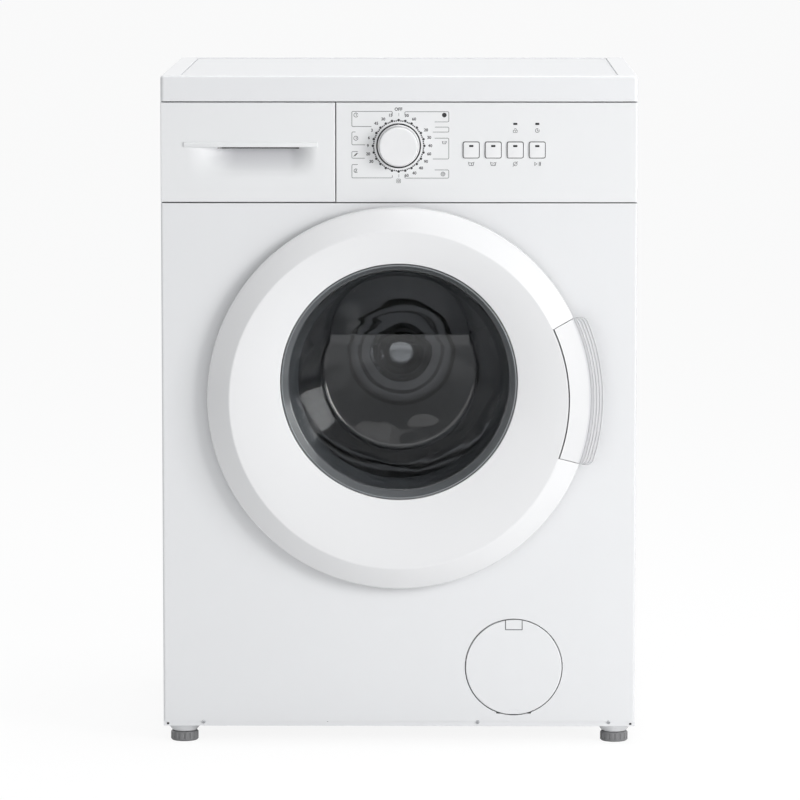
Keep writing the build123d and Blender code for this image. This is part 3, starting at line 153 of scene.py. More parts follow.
floor_mesh = bmesh.new()
bmesh.ops.create_grid(floor_mesh, x_segments=1, y_segments=1, size=30)
floor_data = bpy.data.meshes.new("floor")
floor_mesh.to_mesh(floor_data)
floor_mesh.free()
floor_data.materials.append(floor_material)
floor = bpy.data.objects.new("floor", floor_data)
scene.collection.objects.link(floor)

# ---------------------------------------------------------------- Cabinet
# The cabinet is folded sheet steel: two pressed side panels, a front with the round port, a back
# with its access cover, and a base tray. The sheets are dipped, baked in white enamel and screwed.
COLOUR, VALUE, NORMAL = "NodeSocketColor", "NodeSocketFloat", "NodeSocketVector"


def new_group(name, inputs, outputs):
    """An empty shader node group with the sockets named."""
    group = bpy.data.node_groups.new(name, "ShaderNodeTree")
    for label, kind, value in inputs:
        socket = group.interface.new_socket(label, in_out="INPUT", socket_type=kind)
        socket.default_value = value
    for label, kind in outputs:
        group.interface.new_socket(label, in_out="OUTPUT", socket_type=kind)
    return group, group.nodes.new("NodeGroupInput"), group.nodes.new("NodeGroupOutput")


# Skin: the fine grain of a painted or moulded surface, and the slow drift of its tone and gloss.
skin, skin_in, skin_out = new_group(
    "skin",
    [("Colour", COLOUR, (0.8, 0.8, 0.8, 1)), ("Shade", COLOUR, (0.7, 0.7, 0.7, 1)),
     ("Drift", VALUE, 0.5), ("Gloss", VALUE, 0.3), ("Gloss drift", VALUE, 0.05),
     ("Grain size", VALUE, 600.0), ("Grain depth", VALUE, 0.1)],
    [("Colour", COLOUR), ("Roughness", VALUE), ("Normal", NORMAL)],
)
where = add_node(skin, "ShaderNodeTexCoord")
slow = add_node(skin, "ShaderNodeTexNoise", Scale=2.6, Detail=1.0, Roughness=0.4)
fine = add_node(skin, "ShaderNodeTexNoise", Detail=2.0, Roughness=0.6)
drift = add_node(skin, "ShaderNodeMath", operation="MULTIPLY")
tone = add_node(skin, "ShaderNodeMix", data_type="RGBA")
gloss = add_node(skin, "ShaderNodeMath", operation="MULTIPLY_ADD")
bump = add_node(skin, "ShaderNodeBump", Distance=0.0004)
linked(skin, (where, "Object", slow, "Vector"), (where, "Object", fine, "Vector"),
       (skin_in, "Grain size", fine, "Scale"), (slow, "Fac", drift, 0), (skin_in, "Drift", drift, 1),
       (drift, 0, tone, "Factor"), (skin_in, "Colour", tone, "A"), (skin_in, "Shade", tone, "B"),
       (slow, "Fac", gloss, 0), (skin_in, "Gloss drift", gloss, 1), (skin_in, "Gloss", gloss, 2),
       (fine, "Fac", bump, "Height"), (skin_in, "Grain depth", bump, "Strength"),
       (tone, "Result", skin_out, "Colour"), (gloss, 0, skin_out, "Roughness"),
       (bump, "Normal", skin_out, "Normal"))


def new_finish(name):
    """A material with one Principled shader, with its tree and that shader."""
    material = bpy.data.materials.new(name)
    material.use_nodes = True
    return material, material.node_tree, material.node_tree.nodes["Principled BSDF"]


def skinned(name, colour, shade, gloss=0.3, gloss_drift=0.06, grain=600.0, depth=0.1, drift=0.5, **sockets):
    """A painted or moulded finish: a skin group, with the shader's own sockets set by name."""
    material, tree, shader = new_finish(name)
    surface = add_node(tree, "ShaderNodeGroup", node_tree=skin, Colour=(*colour, 1), Shade=(*shade, 1),
                       Drift=drift, Gloss=gloss, Gloss_drift=gloss_drift, Grain_size=grain,
                       Grain_depth=depth)
    linked(tree, (surface, "Colour", shader, "Base Color"), (surface, "Roughness", shader, "Roughness"),
           (surface, "Normal", shader, "Normal"))
    for label, value in sockets.items():
        shader.inputs[label.replace("_", " ")].default_value = value
    return material


def dress(material, *nodes):
    """Gives CAD nodes a finish."""
    for name in nodes:
        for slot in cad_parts[name].material_slots:
            slot.material = material


enamel = skinned("baked_enamel", (0.84, 0.845, 0.855), (0.82, 0.825, 0.837), gloss=0.24, gloss_drift=0.03,
                 grain=420, depth=0.12, Coat_Weight=0.25, Coat_Roughness=0.12)
dress(enamel, "side_panel_left", "side_panel_right", "front_panel", "back_panel", "back_cover",
      "front_cross_rail", "rear_cross_rail", "base_tray")

# ---------------------------------------------------------------- Worktop
# The lid is a moulded plastic frame round a chipboard panel, which is faced with white laminate.
# The frame is screwed down at the back, and the laminate has a fine pebble to hide scratches.
worktop_white = skinned("worktop_moulding", (0.84, 0.845, 0.855), (0.81, 0.815, 0.83), gloss=0.3,
                        grain=700, depth=0.16, Coat_Weight=0.1, Coat_Roughness=0.25)
dress(worktop_white, "worktop_frame")
laminate = skinned("board_laminate", (0.83, 0.835, 0.845), (0.8, 0.805, 0.82), gloss=0.42, grain=1500,
                   depth=0.3)
dress(laminate, "worktop_board")

# ---------------------------------------------------------------- Control fascia
# The fascia is one smooth ABS moulding that clips over the front. Its scale and marks are printed
# in black and grey ink, and two dark windows over the keys let the lamps behind them show.
face_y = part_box("control_fascia")[0].y
knob_low, knob_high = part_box("programme_knob")
dial_x = (knob_low.x + knob_high.x) / 2
dial_z = (knob_low.z + knob_high.z) / 2
ink_high = 0.00008
moulded_white = skinned("fascia_moulding", (0.85, 0.855, 0.86), (0.82, 0.825, 0.835), gloss=0.26,
                        grain=900, depth=0.08, Coat_Weight=0.12, Coat_Roughness=0.18)
dress(moulded_white, "control_fascia")


def merged(mesh, dist=1e-6):
    """Joins the corners of a bmesh that lie in one place."""
    bmesh.ops.remove_doubles(mesh, verts=mesh.verts, dist=dist)
    return mesh


def rounded(mesh, geom, size, segments=4, kind="EDGES", clamp=False):
    """Bevels the edges of a mesh, or the corners of a line."""
    bmesh.ops.bevel(mesh, geom=geom, offset=size, segments=segments, profile=0.5, affect=kind,
                    offset_type="OFFSET", clamp_overlap=clamp, material=-1)


def upright(x, y, z):
    """A place whose flat shapes stand up and face the front."""
    return Matrix.Translation((x, y, z)) @ Matrix.Rotation(pi / 2, 4, "X")


def smoothed(name, mesh, material, smooth):
    """Makes a bmesh an object in its finish, smooth up to an angle in degrees."""
    data = bpy.data.meshes.new(name)
    mesh.to_mesh(data)
    mesh.free()
    data.shade_smooth()
    data.set_sharp_from_angle(angle=radians(smooth))
    data.materials.append(material)
    made = bpy.data.objects.new(name, data)
    scene.collection.objects.link(made)
    return made


def finished(name, mesh, body, material, replaced=(), smooth=32, recalc=True):
    """Makes a bmesh a piece in its finish, which rides on its body and stands for CAD nodes."""
    merged(mesh)
    loose = [side for side in mesh.edges if not side.link_faces]
    bmesh.ops.delete(mesh, geom=loose, context="EDGES")
    if recalc:
        bmesh.ops.recalc_face_normals(mesh, faces=mesh.faces)
    made = smoothed(name, mesh, material, smooth)
    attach(made, body)
    if replaced:
        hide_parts(*replaced)


def poured(mesh, part, place=None):
    """Adds one bmesh to another at a place, and lets go of it."""
    if place:
        bmesh.ops.transform(part, matrix=place, verts=part.verts)
    data = bpy.data.meshes.new("poured")
    part.to_mesh(data)
    part.free()
    mesh.from_mesh(data)
    bpy.data.meshes.remove(data)


def wire(points, corner=0.0, closed=False):
    """A line of edges through (x, z) points on the face of the panel, with its corners rounded."""
    line = bmesh.new()
    verts = [line.verts.new((x, 0, z)) for x, z in points]
    for pair in zip(verts, verts[1:] + verts[:1] * closed):
        line.edges.new(pair)
    if corner:
        rounded(line, [vert for vert in line.verts if len(vert.link_edges) == 2], corner, kind="VERTICES")
    return line


def arc(radius, first, last, steps):
    """A line of edges along an arc; angles run anticlockwise from the right, in degrees."""
    line = bmesh.new()
    start = radians(first)
    point = line.verts.new((radius * cos(start), 0, radius * sin(start)))
    bmesh.ops.spin(line, geom=[point], cent=(0, 0, 0), axis=(0, -1, 0), angle=radians(last - first),
                   steps=steps, use_merge=False)
    return merged(line, 1e-7)


def inked(mesh, width, x, z, *lines):
    """Turns lines of edges into thin raised strokes of ink in a print, at a place on the panel."""
    for line in lines:
        grown = bmesh.ops.extrude_edge_only(line, edges=line.edges[:])
        front = [item for item in grown["geom"] if isinstance(item, bmesh.types.BMVert)]
        bmesh.ops.translate(line, vec=(0, -ink_high, 0), verts=front)
        bmesh.ops.recalc_face_normals(line, faces=line.faces)
        bmesh.ops.solidify(line, geom=line.faces[:], thickness=width)
        poured(mesh, line, Matrix.Translation((x, face_y, z)))


def pegged(mesh, radius, depth, x, y, z, segments):
    """Adds a round peg that lies fore and aft."""
    bmesh.ops.create_cone(mesh, cap_ends=True, segments=segments, radius1=radius, radius2=radius,
                          depth=depth, matrix=upright(x, y, z))


def inked_dot(mesh, radius, x, z, segments=16):
    """A round dot of ink."""
    pegged(mesh, radius, ink_high, x, face_y - ink_high / 2, z, segments)


def lettered(mesh, words, size, x, z):
    """Numbers or a plain word in ink."""
    curve = bpy.data.curves.new("lettering", "FONT")
    curve.body = words
    curve.size = size
    curve.align_x = "CENTER"
    curve.align_y = "CENTER"
    curve.extrude = ink_high / 2
    curve.offset = 0.00013
    curve.resolution_u = 3
    holder = bpy.data.objects.new("lettering", curve)
    data = bpy.data.meshes.new_from_object(holder)
    data.transform(upright(x, face_y - ink_high / 2, z))
    mesh.from_mesh(data)
    bpy.data.objects.remove(holder)
    bpy.data.curves.remove(curve)
    bpy.data.meshes.remove(data)


# The scale: a large dot at each programme, small dashes between, and a ring round the knob's well.
scale = bmesh.new()
scale_r = 0.0321
for turn in range(0, 360, 15):
    inked_dot(scale, 0.00165, dial_x + scale_r * cos(radians(turn)), dial_z + scale_r * sin(radians(turn)))
    inked(scale, 0.0017, dial_x, dial_z, arc(scale_r, turn + 3.8, turn + 6.8, 2),
          arc(scale_r, turn + 8.2, turn + 11.2, 2))
inked(scale, 0.0006, dial_x, dial_z, arc(0.0281, 0, 360, 120))
lettered(scale, "OFF", 0.0056, dial_x - 0.0002, dial_z + 0.0456)
for label, turn, reach in (
    ("15", 105, 0.0395), ("30", 120, 0.0385), ("45", 135, 0.0395), ("3", 150, 0.0385), ("6", 165, 0.0385),
    ("9", 180, 0.0385), ("30", 210, 0.0395), ("20", 195, 0.0395), ("60", 60, 0.0385), ("30", 75, 0.039),
    ("20", 30, 0.0395), ("30", 15, 0.0395), ("40", 0, 0.0395), ("60", 345, 0.0395), ("90", 330, 0.0395),
    ("40", 300, 0.0395), ("60", 285, 0.0385), ("40", 315, 0.0395),
):
    label_x, label_z = dial_x + reach * cos(radians(turn)), dial_z + reach * sin(radians(turn))
    lettered(scale, label, 0.0051, label_x, label_z)
# The black ink is also painted shadow in the knob's well and in the gaps round the keys.
ink_and_shadow_black = skinned("black_ink_and_painted_shadow", (0.022, 0.022, 0.024), (0.04, 0.04, 0.042), gloss=0.4, grain=2500,
                    depth=0.1)
finished("programme_scale", scale, "cabinet", ink_and_shadow_black)

# The frames that gather the programmes, each open where its numbers stand, and the two tick lines.
frames = bmesh.new()
left, right = -0.0588, 0.0631
for points in (
    [(-0.0075, 0.0380), (-0.0075, 0.0434), (left, 0.0434), (left, 0.0238), (-0.0340, 0.0238)],
    [(-0.0539, 0.0177), (left, 0.0177), (left, 0.0009), (-0.0417, 0.0009)],
    [(-0.0511, -0.0068), (left, -0.0068), (left, -0.0159), (-0.0423, -0.0159)],
    [(-0.0511, -0.0231), (left, -0.0231), (left, -0.0405), (-0.0075, -0.0405), (-0.0075, -0.0370)],
    [(0.0074, 0.0378), (0.0074, 0.0430), (right, 0.0430), (right, 0.0296), (0.0450, 0.0296)],
    [(0.0455, 0.0238), (right, 0.0238), (right, 0.0169), (0.0427, 0.0169)],
    [(0.0450, 0.0099), (right, 0.0099), (right, -0.0168), (0.0427, -0.0168)],
    [(0.0450, -0.0298), (right, -0.0298), (right, -0.0408), (0.0074, -0.0408), (0.0074, -0.0370)],
):
    inked(frames, 0.0007, dial_x, dial_z, wire(points, corner=0.0018))
inked(frames, 0.0005, dial_x, dial_z, wire([(0, 0.0372), (0, 0.0412)]), wire([(0, -0.0395), (0, -0.0355)]))
ink_grey = skinned("grey_ink", (0.16, 0.16, 0.165), (0.2, 0.2, 0.205), gloss=0.4, grain=2500, depth=0.1)
finished("programme_frames", frames, "cabinet", ink_grey)

# Small pictures for the groups of programmes and under the keys.
pictures = bmesh.new()
fine_line, thin_line = 0.0006, 0.0005


def clock_picture(x, z, size, first=0, last=360, hands=((0, 0.55), (0.4, 0))):
    """A dial with two hands."""
    inked(pictures, fine_line, x, z, arc(size, first, last, 20),
          *[wire([(0, 0), (hand_x * size, hand_z * size)]) for hand_x, hand_z in hands])


def basin_picture(x, z, size):
    """A wash basin with its wavy water line."""
    basin_line = ((-1, 0.62), (-0.72, -0.62), (0.72, -0.62), (1, 0.62))
    water_line = ((-0.82, 0.3), (-0.4, 0.5), (0, 0.26), (0.4, 0.5), (0.82, 0.3))
    for points, width in ((basin_line, fine_line), (water_line, thin_line)):
        inked(pictures, width, x, z, wire([(size * across, size * up) for across, up in points], 0.0003))


left_x, right_x = dial_x - 0.0535, dial_x + 0.0571
clock_picture(left_x + 0.0002, dial_z + 0.0385, 0.0029, 20, 340)
clock_picture(left_x, dial_z + 0.0095, 0.0029)
inked(pictures, fine_line, left_x, dial_z - 0.0113,
      *[wire([(-0.002 + lean, -0.0018), (0.0016 + lean, 0.0022)]) for lean in (-0.0011, 0.0, 0.0011)])
inked(pictures, fine_line, left_x, dial_z - 0.0312, arc(0.0026, 40, 320, 16), arc(0.0012, 200, 480, 12))
inked_dot(pictures, 0.0029, right_x, dial_z + 0.0385, 24)
basin_picture(right_x, dial_z + 0.0041, 0.0029)
inked(pictures, fine_line, dial_x + 0.0555, dial_z - 0.0353, arc(0.0028, 0, 360, 24),
      arc(0.0016, 0, 360, 18))
tag_z = dial_z - 0.0439
inked(pictures, 0.00045, dial_x, tag_z,
      wire([(-0.0026, -0.0026), (0.0026, -0.0026), (0.0026, 0.0026), (-0.0026, 0.0026)], 0.0006, True))
inked(pictures, fine_line, dial_x, tag_z, arc(0.0015, 0, 360, 18))

key_boxes = [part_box("button_%d" % number) for number in (1, 2, 3, 4)]
key_xs = [(key_low.x + key_high.x) / 2 for key_low, key_high in key_boxes]
first_x, second_x, third_x, fourth_x = key_xs
key_z = (key_boxes[0][0].z + key_boxes[0][1].z) / 2
key_half = (key_boxes[0][1].x - key_boxes[0][0].x) / 2
mark_z = key_z - key_half - 0.0062
basin_picture(first_x, mark_z, 0.0038)
inked(pictures, fine_line, first_x, mark_z, wire([(0, -0.0018), (0, 0.0014)]))
basin_picture(second_x, mark_z, 0.0038)
for drop in (-0.0012, 0.0012):
    inked_dot(pictures, 0.0004, second_x + drop, mark_z - 0.0008, 10)
inked(pictures, thin_line, third_x, mark_z, arc(0.0026, 30, 390, 24),
      wire([(-0.0032, -0.0032), (0.0032, 0.0032)]))
inked(pictures, thin_line, fourth_x, mark_z,
      wire([(-0.0034, -0.0024), (-0.0034, 0.0024), (0.0004, 0)], closed=True))
inked(pictures, 0.0008, fourth_x, mark_z,
      *[wire([(bar_x, -0.0024), (bar_x, 0.0024)]) for bar_x in (0.0021, 0.0036)])

# Over the last two keys: a padlock and a running clock, each below its lamp's window.
lamp_z = key_z + 0.0326
inked(pictures, thin_line, third_x, lamp_z - 0.0083,
      wire([(-0.0027, -0.0026), (0.0027, -0.0026), (0.0027, 0.0006), (-0.0027, 0.0006)], 0.0006, True))
inked(pictures, thin_line, third_x, lamp_z - 0.0072, arc(0.0016, 0, 180, 12))
inked_dot(pictures, 0.0005, third_x, lamp_z - 0.0092, 12)
clock_picture(fourth_x, lamp_z - 0.0083, 0.0027, 60, 390, hands=((0, 0.6), (0.5, 0)))
finished("key_pictures", pictures, "cabinet", ink_and_shadow_black)

# The lamps' windows are smoked acrylic, flush with the panel. The same dark finish is also painted shadow in
# the drawer's slot, the hatch's tab gap and the strip's holes.
smoked_and_shadow_dark, smoke_tree, smoked_shader = new_finish("smoked_acrylic_and_painted_shadow")
smoke_place = add_node(smoke_tree, "ShaderNodeTexCoord")
smoke_noise = add_node(smoke_tree, "ShaderNodeTexNoise", Scale=900.0, Detail=2.0)
smoke_tone = add_node(smoke_tree, "ShaderNodeMix", data_type="RGBA", A=(0.012, 0.012, 0.013, 1),
                      B=(0.03, 0.03, 0.032, 1))
linked(smoke_tree, (smoke_place, "Object", smoke_noise, "Vector"),
       (smoke_noise, "Fac", smoke_tone, "Factor"), (smoke_tone, "Result", smoked_shader, "Base Color"))
smoked_shader.inputs["Roughness"].default_value = 0.1


def block_between(corner_low, corner_high, rounding=0.0, edge=0.0, segments=3):
    """A block between two corners; the edges that run fore and aft are rounded, then those in front."""
    block = bmesh.new()
    size = Vector(corner_high) - Vector(corner_low)
    place = Matrix.Translation((Vector(corner_high) + Vector(corner_low)) / 2)
    bmesh.ops.create_cube(block, size=1.0, matrix=place @ Matrix.Diagonal((*size, 1)))
    if rounding:
        along = [side for side in block.edges if abs(side.verts[0].co.y - side.verts[1].co.y) > size.y / 2]
        rounded(block, along, rounding, segments=6)
    if edge:
        front = [side for side in block.edges
                 if max(vert.co.y for vert in side.verts) < corner_low[1] + 1e-6]
        rounded(block, front, edge, segments)
    return block


windows = bmesh.new()
for lamp_x in (third_x, fourth_x):
    poured(windows, block_between((lamp_x - 0.0025, face_y - 0.0001, lamp_z - 0.0013),
                                  (lamp_x + 0.0025, face_y + 0.0008, lamp_z + 0.0013), 0.0003))
finished("lamp_windows", windows, "cabinet", smoked_and_shadow_dark)

# ---------------------------------------------------------------- Programme knob
# The knob is a hollow ABS cap on the selector's shaft, with a broad flat face, a small round on its
# edge and a tapered skirt. A nib on the skirt points at the chosen programme.


def spun(outline, x, z, start=0.0, turned=2 * pi, steps=96):
    """A closed (radius, y, rounding) outline, spun anticlockwise about a fore-and-aft axis."""
    mesh = bmesh.new()
    corners = [mesh.verts.new((radius, y, 0)) for radius, y, _ in outline]
    for pair in zip(corners, corners[1:] + corners[:1]):
        mesh.edges.new(pair)
    for rounding in sorted({size for _, _, size in outline if size}):
        same = [corner for corner, (_, _, size) in zip(corners, outline) if size == rounding]
        rounded(mesh, same, rounding, kind="VERTICES")
    place = Matrix.Translation((x, 0, z)) @ Matrix.Rotation(-start, 4, "Y")
    bmesh.ops.transform(mesh, matrix=place, verts=mesh.verts)
    first_edges = mesh.edges[:]
    made = bmesh.ops.spin(mesh, geom=mesh.verts[:] + mesh.edges[:], cent=(x, 0, z), axis=(0, -1, 0),
                          angle=turned, steps=steps, use_merge=turned == 2 * pi)
    if turned != 2 * pi:
        last_edges = [item for item in made["geom_last"] if isinstance(item, bmesh.types.BMEdge)]
        for rim in (first_edges, last_edges):
            bmesh.ops.contextual_create(mesh, geom=rim)
    return merged(mesh)


cap_r = (knob_high.x - knob_low.x) / 2
cap_y = knob_low.y
skirt_r = 0.0263
skirt_y = face_y + 0.0014
stem_r = 0.003
stem_y = knob_high.y
cap = spun([(0, cap_y + 0.0004, 0), (cap_r - 0.006, cap_y + 0.0002, 0), (cap_r - 0.0013, cap_y, 0.0011),
            (cap_r - 0.0007, cap_y + 0.004, 0.0009), (cap_r, face_y - 0.0016, 0.0006),
            (skirt_r, face_y - 0.0004, 0.0003), (skirt_r, skirt_y, 0.0002),
            (cap_r - 0.0022, skirt_y, 0.0003), (cap_r - 0.0035, cap_y + 0.0035, 0.001),
            (0.0055, cap_y + 0.0035, 0.0005), (0.0055, skirt_y, 0.0003), (stem_r, skirt_y, 0),
            (stem_r, stem_y, 0.0003), (0, stem_y, 0)], dial_x, dial_z, steps=128)
nib_low = (dial_x - 0.0007, face_y - 0.0012, dial_z + cap_r - 0.0012)
nib_high = (dial_x + 0.0007, face_y + 0.0004, dial_z + skirt_r + 0.0004)
poured(cap, block_between(nib_low, nib_high, 0.0006, 0.0003))
knob_white = skinned("knob_moulding", (0.87, 0.87, 0.875), (0.84, 0.84, 0.85), gloss=0.16, grain=800,
                     depth=0.04, Coat_Weight=0.3, Coat_Roughness=0.08)
finished("knob_cap", cap, "knob", knob_white, ["programme_knob"])
# A black ring in the well round the skirt is painted shadow for the gap there.
well_r = 0.02765
painted_well_shadow = spun([(skirt_r + 0.0002, face_y + 0.0011, 0), (well_r, face_y + 0.0003, 0),
             (well_r, face_y + 0.0019, 0), (skirt_r + 0.0002, face_y + 0.0019, 0)], dial_x, dial_z)
finished("painted_well_shadow_ring", painted_well_shadow, "cabinet", ink_and_shadow_black)

# ---------------------------------------------------------------- Keys
# Four square push keys are moulded in one strip behind the fascia. Each face is faintly crowned and has
# a smoked lamp window, and a gap runs all round it, darkened by a black frame of painted shadow.
button_white = skinned("key_moulding", (0.86, 0.86, 0.865), (0.83, 0.83, 0.84), gloss=0.2, grain=900,
                       depth=0.05, Coat_Weight=0.25, Coat_Roughness=0.1)
key_y = key_boxes[0][0].y
key_face = key_half - 0.0016
key_flange_y = face_y + 0.0028
stem_front_y = key_flange_y + 0.0015
gap_out = key_face + 0.0010
painted_gap_shadows = bmesh.new()


def framed(corner_low, corner_high, rounding, width):
    """A flat frame: a rounded block with both faces inset and the middle taken out."""
    frame_block = block_between(corner_low, corner_high, rounding)
    ends = [face for face in frame_block.faces if abs(face.normal.y) > 0.9]
    bmesh.ops.inset_individual(frame_block, faces=ends, thickness=width)
    rims = [side for face in ends for side in face.edges]
    bmesh.ops.delete(frame_block, geom=ends, context="FACES_ONLY")
    bmesh.ops.bridge_loops(frame_block, edges=rims)
    return frame_block


for number, ((key_low, key_high), key_x) in enumerate(zip(key_boxes, key_xs), start=1):
    body = "push_button_%d" % number
    key = block_between((key_x - key_face, key_y, key_z - key_face),
                        (key_x + key_face, key_flange_y, key_z + key_face), 0.002, 0.0005, 3)
    poured(key, block_between((key_low.x, key_flange_y, key_low.z), (key_high.x, stem_front_y, key_high.z)))
    stem_long = key_high.y - stem_front_y
    pegged(key, 0.002, stem_long, key_x, key_high.y - stem_long / 2, key_z, 24)
    finished("key_%d" % number, key, body, button_white, ["button_%d" % number])
    window = block_between((key_x - 0.00265, key_y - 0.0001, key_z + 0.0038),
                           (key_x + 0.00265, key_y + 0.0008, key_z + 0.0063), 0.0003)
    finished("key_window_%d" % number, window, body, smoked_and_shadow_dark)
    poured(painted_gap_shadows, framed((key_x - gap_out, face_y - ink_high, key_z - gap_out),
                        (key_x + gap_out, face_y + 0.0003, key_z + gap_out), 0.0026, 0.0009))
# The black frames in the gaps round the keys are painted shadow.
finished("key_outlines", painted_gap_shadows, "cabinet", ink_and_shadow_black)

# ---------------------------------------------------------------- Detergent drawer front
# The drawer's front is a thin ABS moulding. Its grip is a soft dish, deepest at the top, where a bar
# bridges it; painted shade darkens the dish, and a dark strip of painted shadow stands for the slot that
# takes the fingertips. The two bosses carry the tray.
drawer_low, drawer_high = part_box("drawer_front")
drawer_deep = 0.0155
drawer_wall = 0.0024
grip_left, grip_right = drawer_low.x + 0.033, drawer_high.x - 0.0235
grip_foot, grip_head = drawer_low.z + 0.028, drawer_low.z + 0.0687
grip_deep = 0.0185
left_flank, right_flank = 0.062, 0.034

# Painted recess shade: a colour that turns darker with depth, standing in for the shade in dishes and
# grooves.
painted_recess_shade, recess_shade_in, recess_shade_out = new_group(
    "painted_recess_shade",
    [("Colour", COLOUR, (0.8, 0.8, 0.8, 1)), ("Dull", COLOUR, (0.6, 0.6, 0.6, 1)),
     ("Near", VALUE, 0.0), ("Deep", VALUE, 0.01)],
    [("Colour", COLOUR)],
)
recess_shade_where = add_node(painted_recess_shade, "ShaderNodeTexCoord")
recess_shade_split = add_node(painted_recess_shade, "ShaderNodeSeparateXYZ")
recess_shade_depth = add_node(painted_recess_shade, "ShaderNodeMapRange")
recess_shade_tone = add_node(painted_recess_shade, "ShaderNodeMix", data_type="RGBA")
linked(painted_recess_shade, (recess_shade_where, "Object", recess_shade_split, 0), (recess_shade_split, "Y", recess_shade_depth, "Value"),
       (recess_shade_in, "Near", recess_shade_depth, "From Min"), (recess_shade_in, "Deep", recess_shade_depth, "From Max"),
       (recess_shade_depth, "Result", recess_shade_tone, "Factor"), (recess_shade_in, "Colour", recess_shade_tone, "A"),
       (recess_shade_in, "Dull", recess_shade_tone, "B"), (recess_shade_tone, "Result", recess_shade_out, "Colour"))


def with_painted_recess_shade(material, shade_colour, near_y, deep_y):
    """Paints shade into a skinned finish, darker from one depth to the next."""
    tree = material.node_tree
    shader = tree.nodes["Principled BSDF"]
    plain = shader.inputs["Base Color"].links[0].from_node
    hollow = add_node(tree, "ShaderNodeGroup", node_tree=painted_recess_shade, Dull=(*shade_colour, 1), Near=near_y, Deep=deep_y)
    linked(tree, (plain, "Colour", hollow, "Colour"), (hollow, "Colour", shader, "Base Color"))


drawer_white = skinned("drawer_moulding", (0.85, 0.855, 0.86), (0.82, 0.825, 0.835), gloss=0.4, grain=900,
                       depth=0.08)
# Painted shade: the dish darkens with depth, standing in for the bar's shadow.
with_painted_recess_shade(drawer_white, (0.56, 0.56, 0.58), face_y + 0.004, face_y + grip_deep)


def eased(share):
    """Goes softly from 0 to 1 as a share does."""
    share = min(max(share, 0.0), 1.0)
    return share * share * (3 - 2 * share)


def dished(x, z):
    """How far the grip's dish lies behind the face of the drawer."""
    across = eased((x - grip_left) / left_flank) * eased((grip_right - x) / right_flank)
    return grip_deep * across * eased((z - grip_foot) / (grip_head - grip_foot)) ** 0.8


def sheet_between(left_x, right_x, foot_z, head_z, columns, rows):
    """A flat grid in the face of the drawer."""
    mesh = bmesh.new()
    spread = Matrix.Diagonal((right_x - left_x, 1, head_z - foot_z, 1))
    place = Matrix.Translation(((left_x + right_x) / 2, face_y, (foot_z + head_z) / 2))
    bmesh.ops.create_grid(mesh, x_segments=columns, y_segments=rows, size=0.5,
                          matrix=place @ spread @ Matrix.Rotation(pi / 2, 4, "X"))
    return mesh


drawer = sheet_between(drawer_low.x, drawer_high.x, drawer_low.z, drawer_high.z, 110, 62)
for vert in drawer.verts:
    if grip_foot < vert.co.z < grip_head:
        vert.co.y += dished(vert.co.x, vert.co.z)
border = [side for side in drawer.edges if side.is_boundary]
grown = bmesh.ops.extrude_edge_only(drawer, edges=border)
skirt = [item for item in grown["geom"] if isinstance(item, bmesh.types.BMVert)]
bmesh.ops.translate(drawer, vec=(0, drawer_deep, 0), verts=skirt)
rounded(drawer, border, 0.0011, segments=3)
bmesh.ops.recalc_face_normals(drawer, faces=drawer.faces)
if max(drawer.faces, key=lambda face: face.calc_area()).normal.y > 0:
    bmesh.ops.reverse_faces(drawer, faces=drawer.faces)
bmesh.ops.solidify(drawer, geom=drawer.faces[:], thickness=drawer_wall)
bar_low = (grip_left - 0.0045, drawer_low.y, grip_head)
bar_high = (grip_right + 0.0016, face_y + 0.0012, grip_head + 0.0064)
poured(drawer, block_between(bar_low, bar_high, 0.0012, 0.0012, 4))
boss_r, boss_long = 0.005, 0.0185
for boss_x in (drawer_low.x + 0.047, drawer_high.x - 0.040):
    pegged(drawer, boss_r, boss_long, boss_x, face_y + 0.0113, drawer_high.z - 0.02, 20)
finished("drawer_face", drawer, "drawer", drawer_white, ["drawer_front"], smooth=40,
         recalc=False)

# A dark strip just under the bar is painted shadow: it stands for the shade in the slot behind it.
painted_slot_shadow = sheet_between(grip_left + 0.038, grip_right - 0.0222, grip_head - 0.0027,
                            grip_head - 0.0002, 60, 1)
for vert in painted_slot_shadow.verts:
    vert.co.y += dished(vert.co.x, vert.co.z) - 0.0006
bmesh.ops.recalc_face_normals(painted_slot_shadow, faces=painted_slot_shadow.faces)
bmesh.ops.solidify(painted_slot_shadow, geom=painted_slot_shadow.faces[:], thickness=0.0004)
finished("painted_slot_shadow", painted_slot_shadow, "drawer", smoked_and_shadow_dark)

# ---------------------------------------------------------------- Dispenser and water valve
# Behind the drawer a white polypropylene housing takes the tray, with a blue siphon cap in the
# softener's place. Grey corrugated hoses join it to the valve's coils and to the tub.
tray_white = skinned("tray_polypropylene", (0.74, 0.76, 0.78), (0.68, 0.7, 0.73), gloss=0.34, grain=700,
                     depth=0.12, Subsurface_Weight=0.06)
dress(tray_white, "dispenser_housing", "detergent_tray")
siphon_blue = skinned("siphon_polypropylene", (0.05, 0.16, 0.45), (0.04, 0.13, 0.38), gloss=0.3, grain=700,
                      depth=0.1)
dress(siphon_blue, "siphon_cap")
valve_white = skinned("valve_polyamide", (0.66, 0.65, 0.6), (0.58, 0.57, 0.52), gloss=0.42, grain=500,
                      depth=0.2)
dress(valve_white, "inlet_valve", "door_lock")

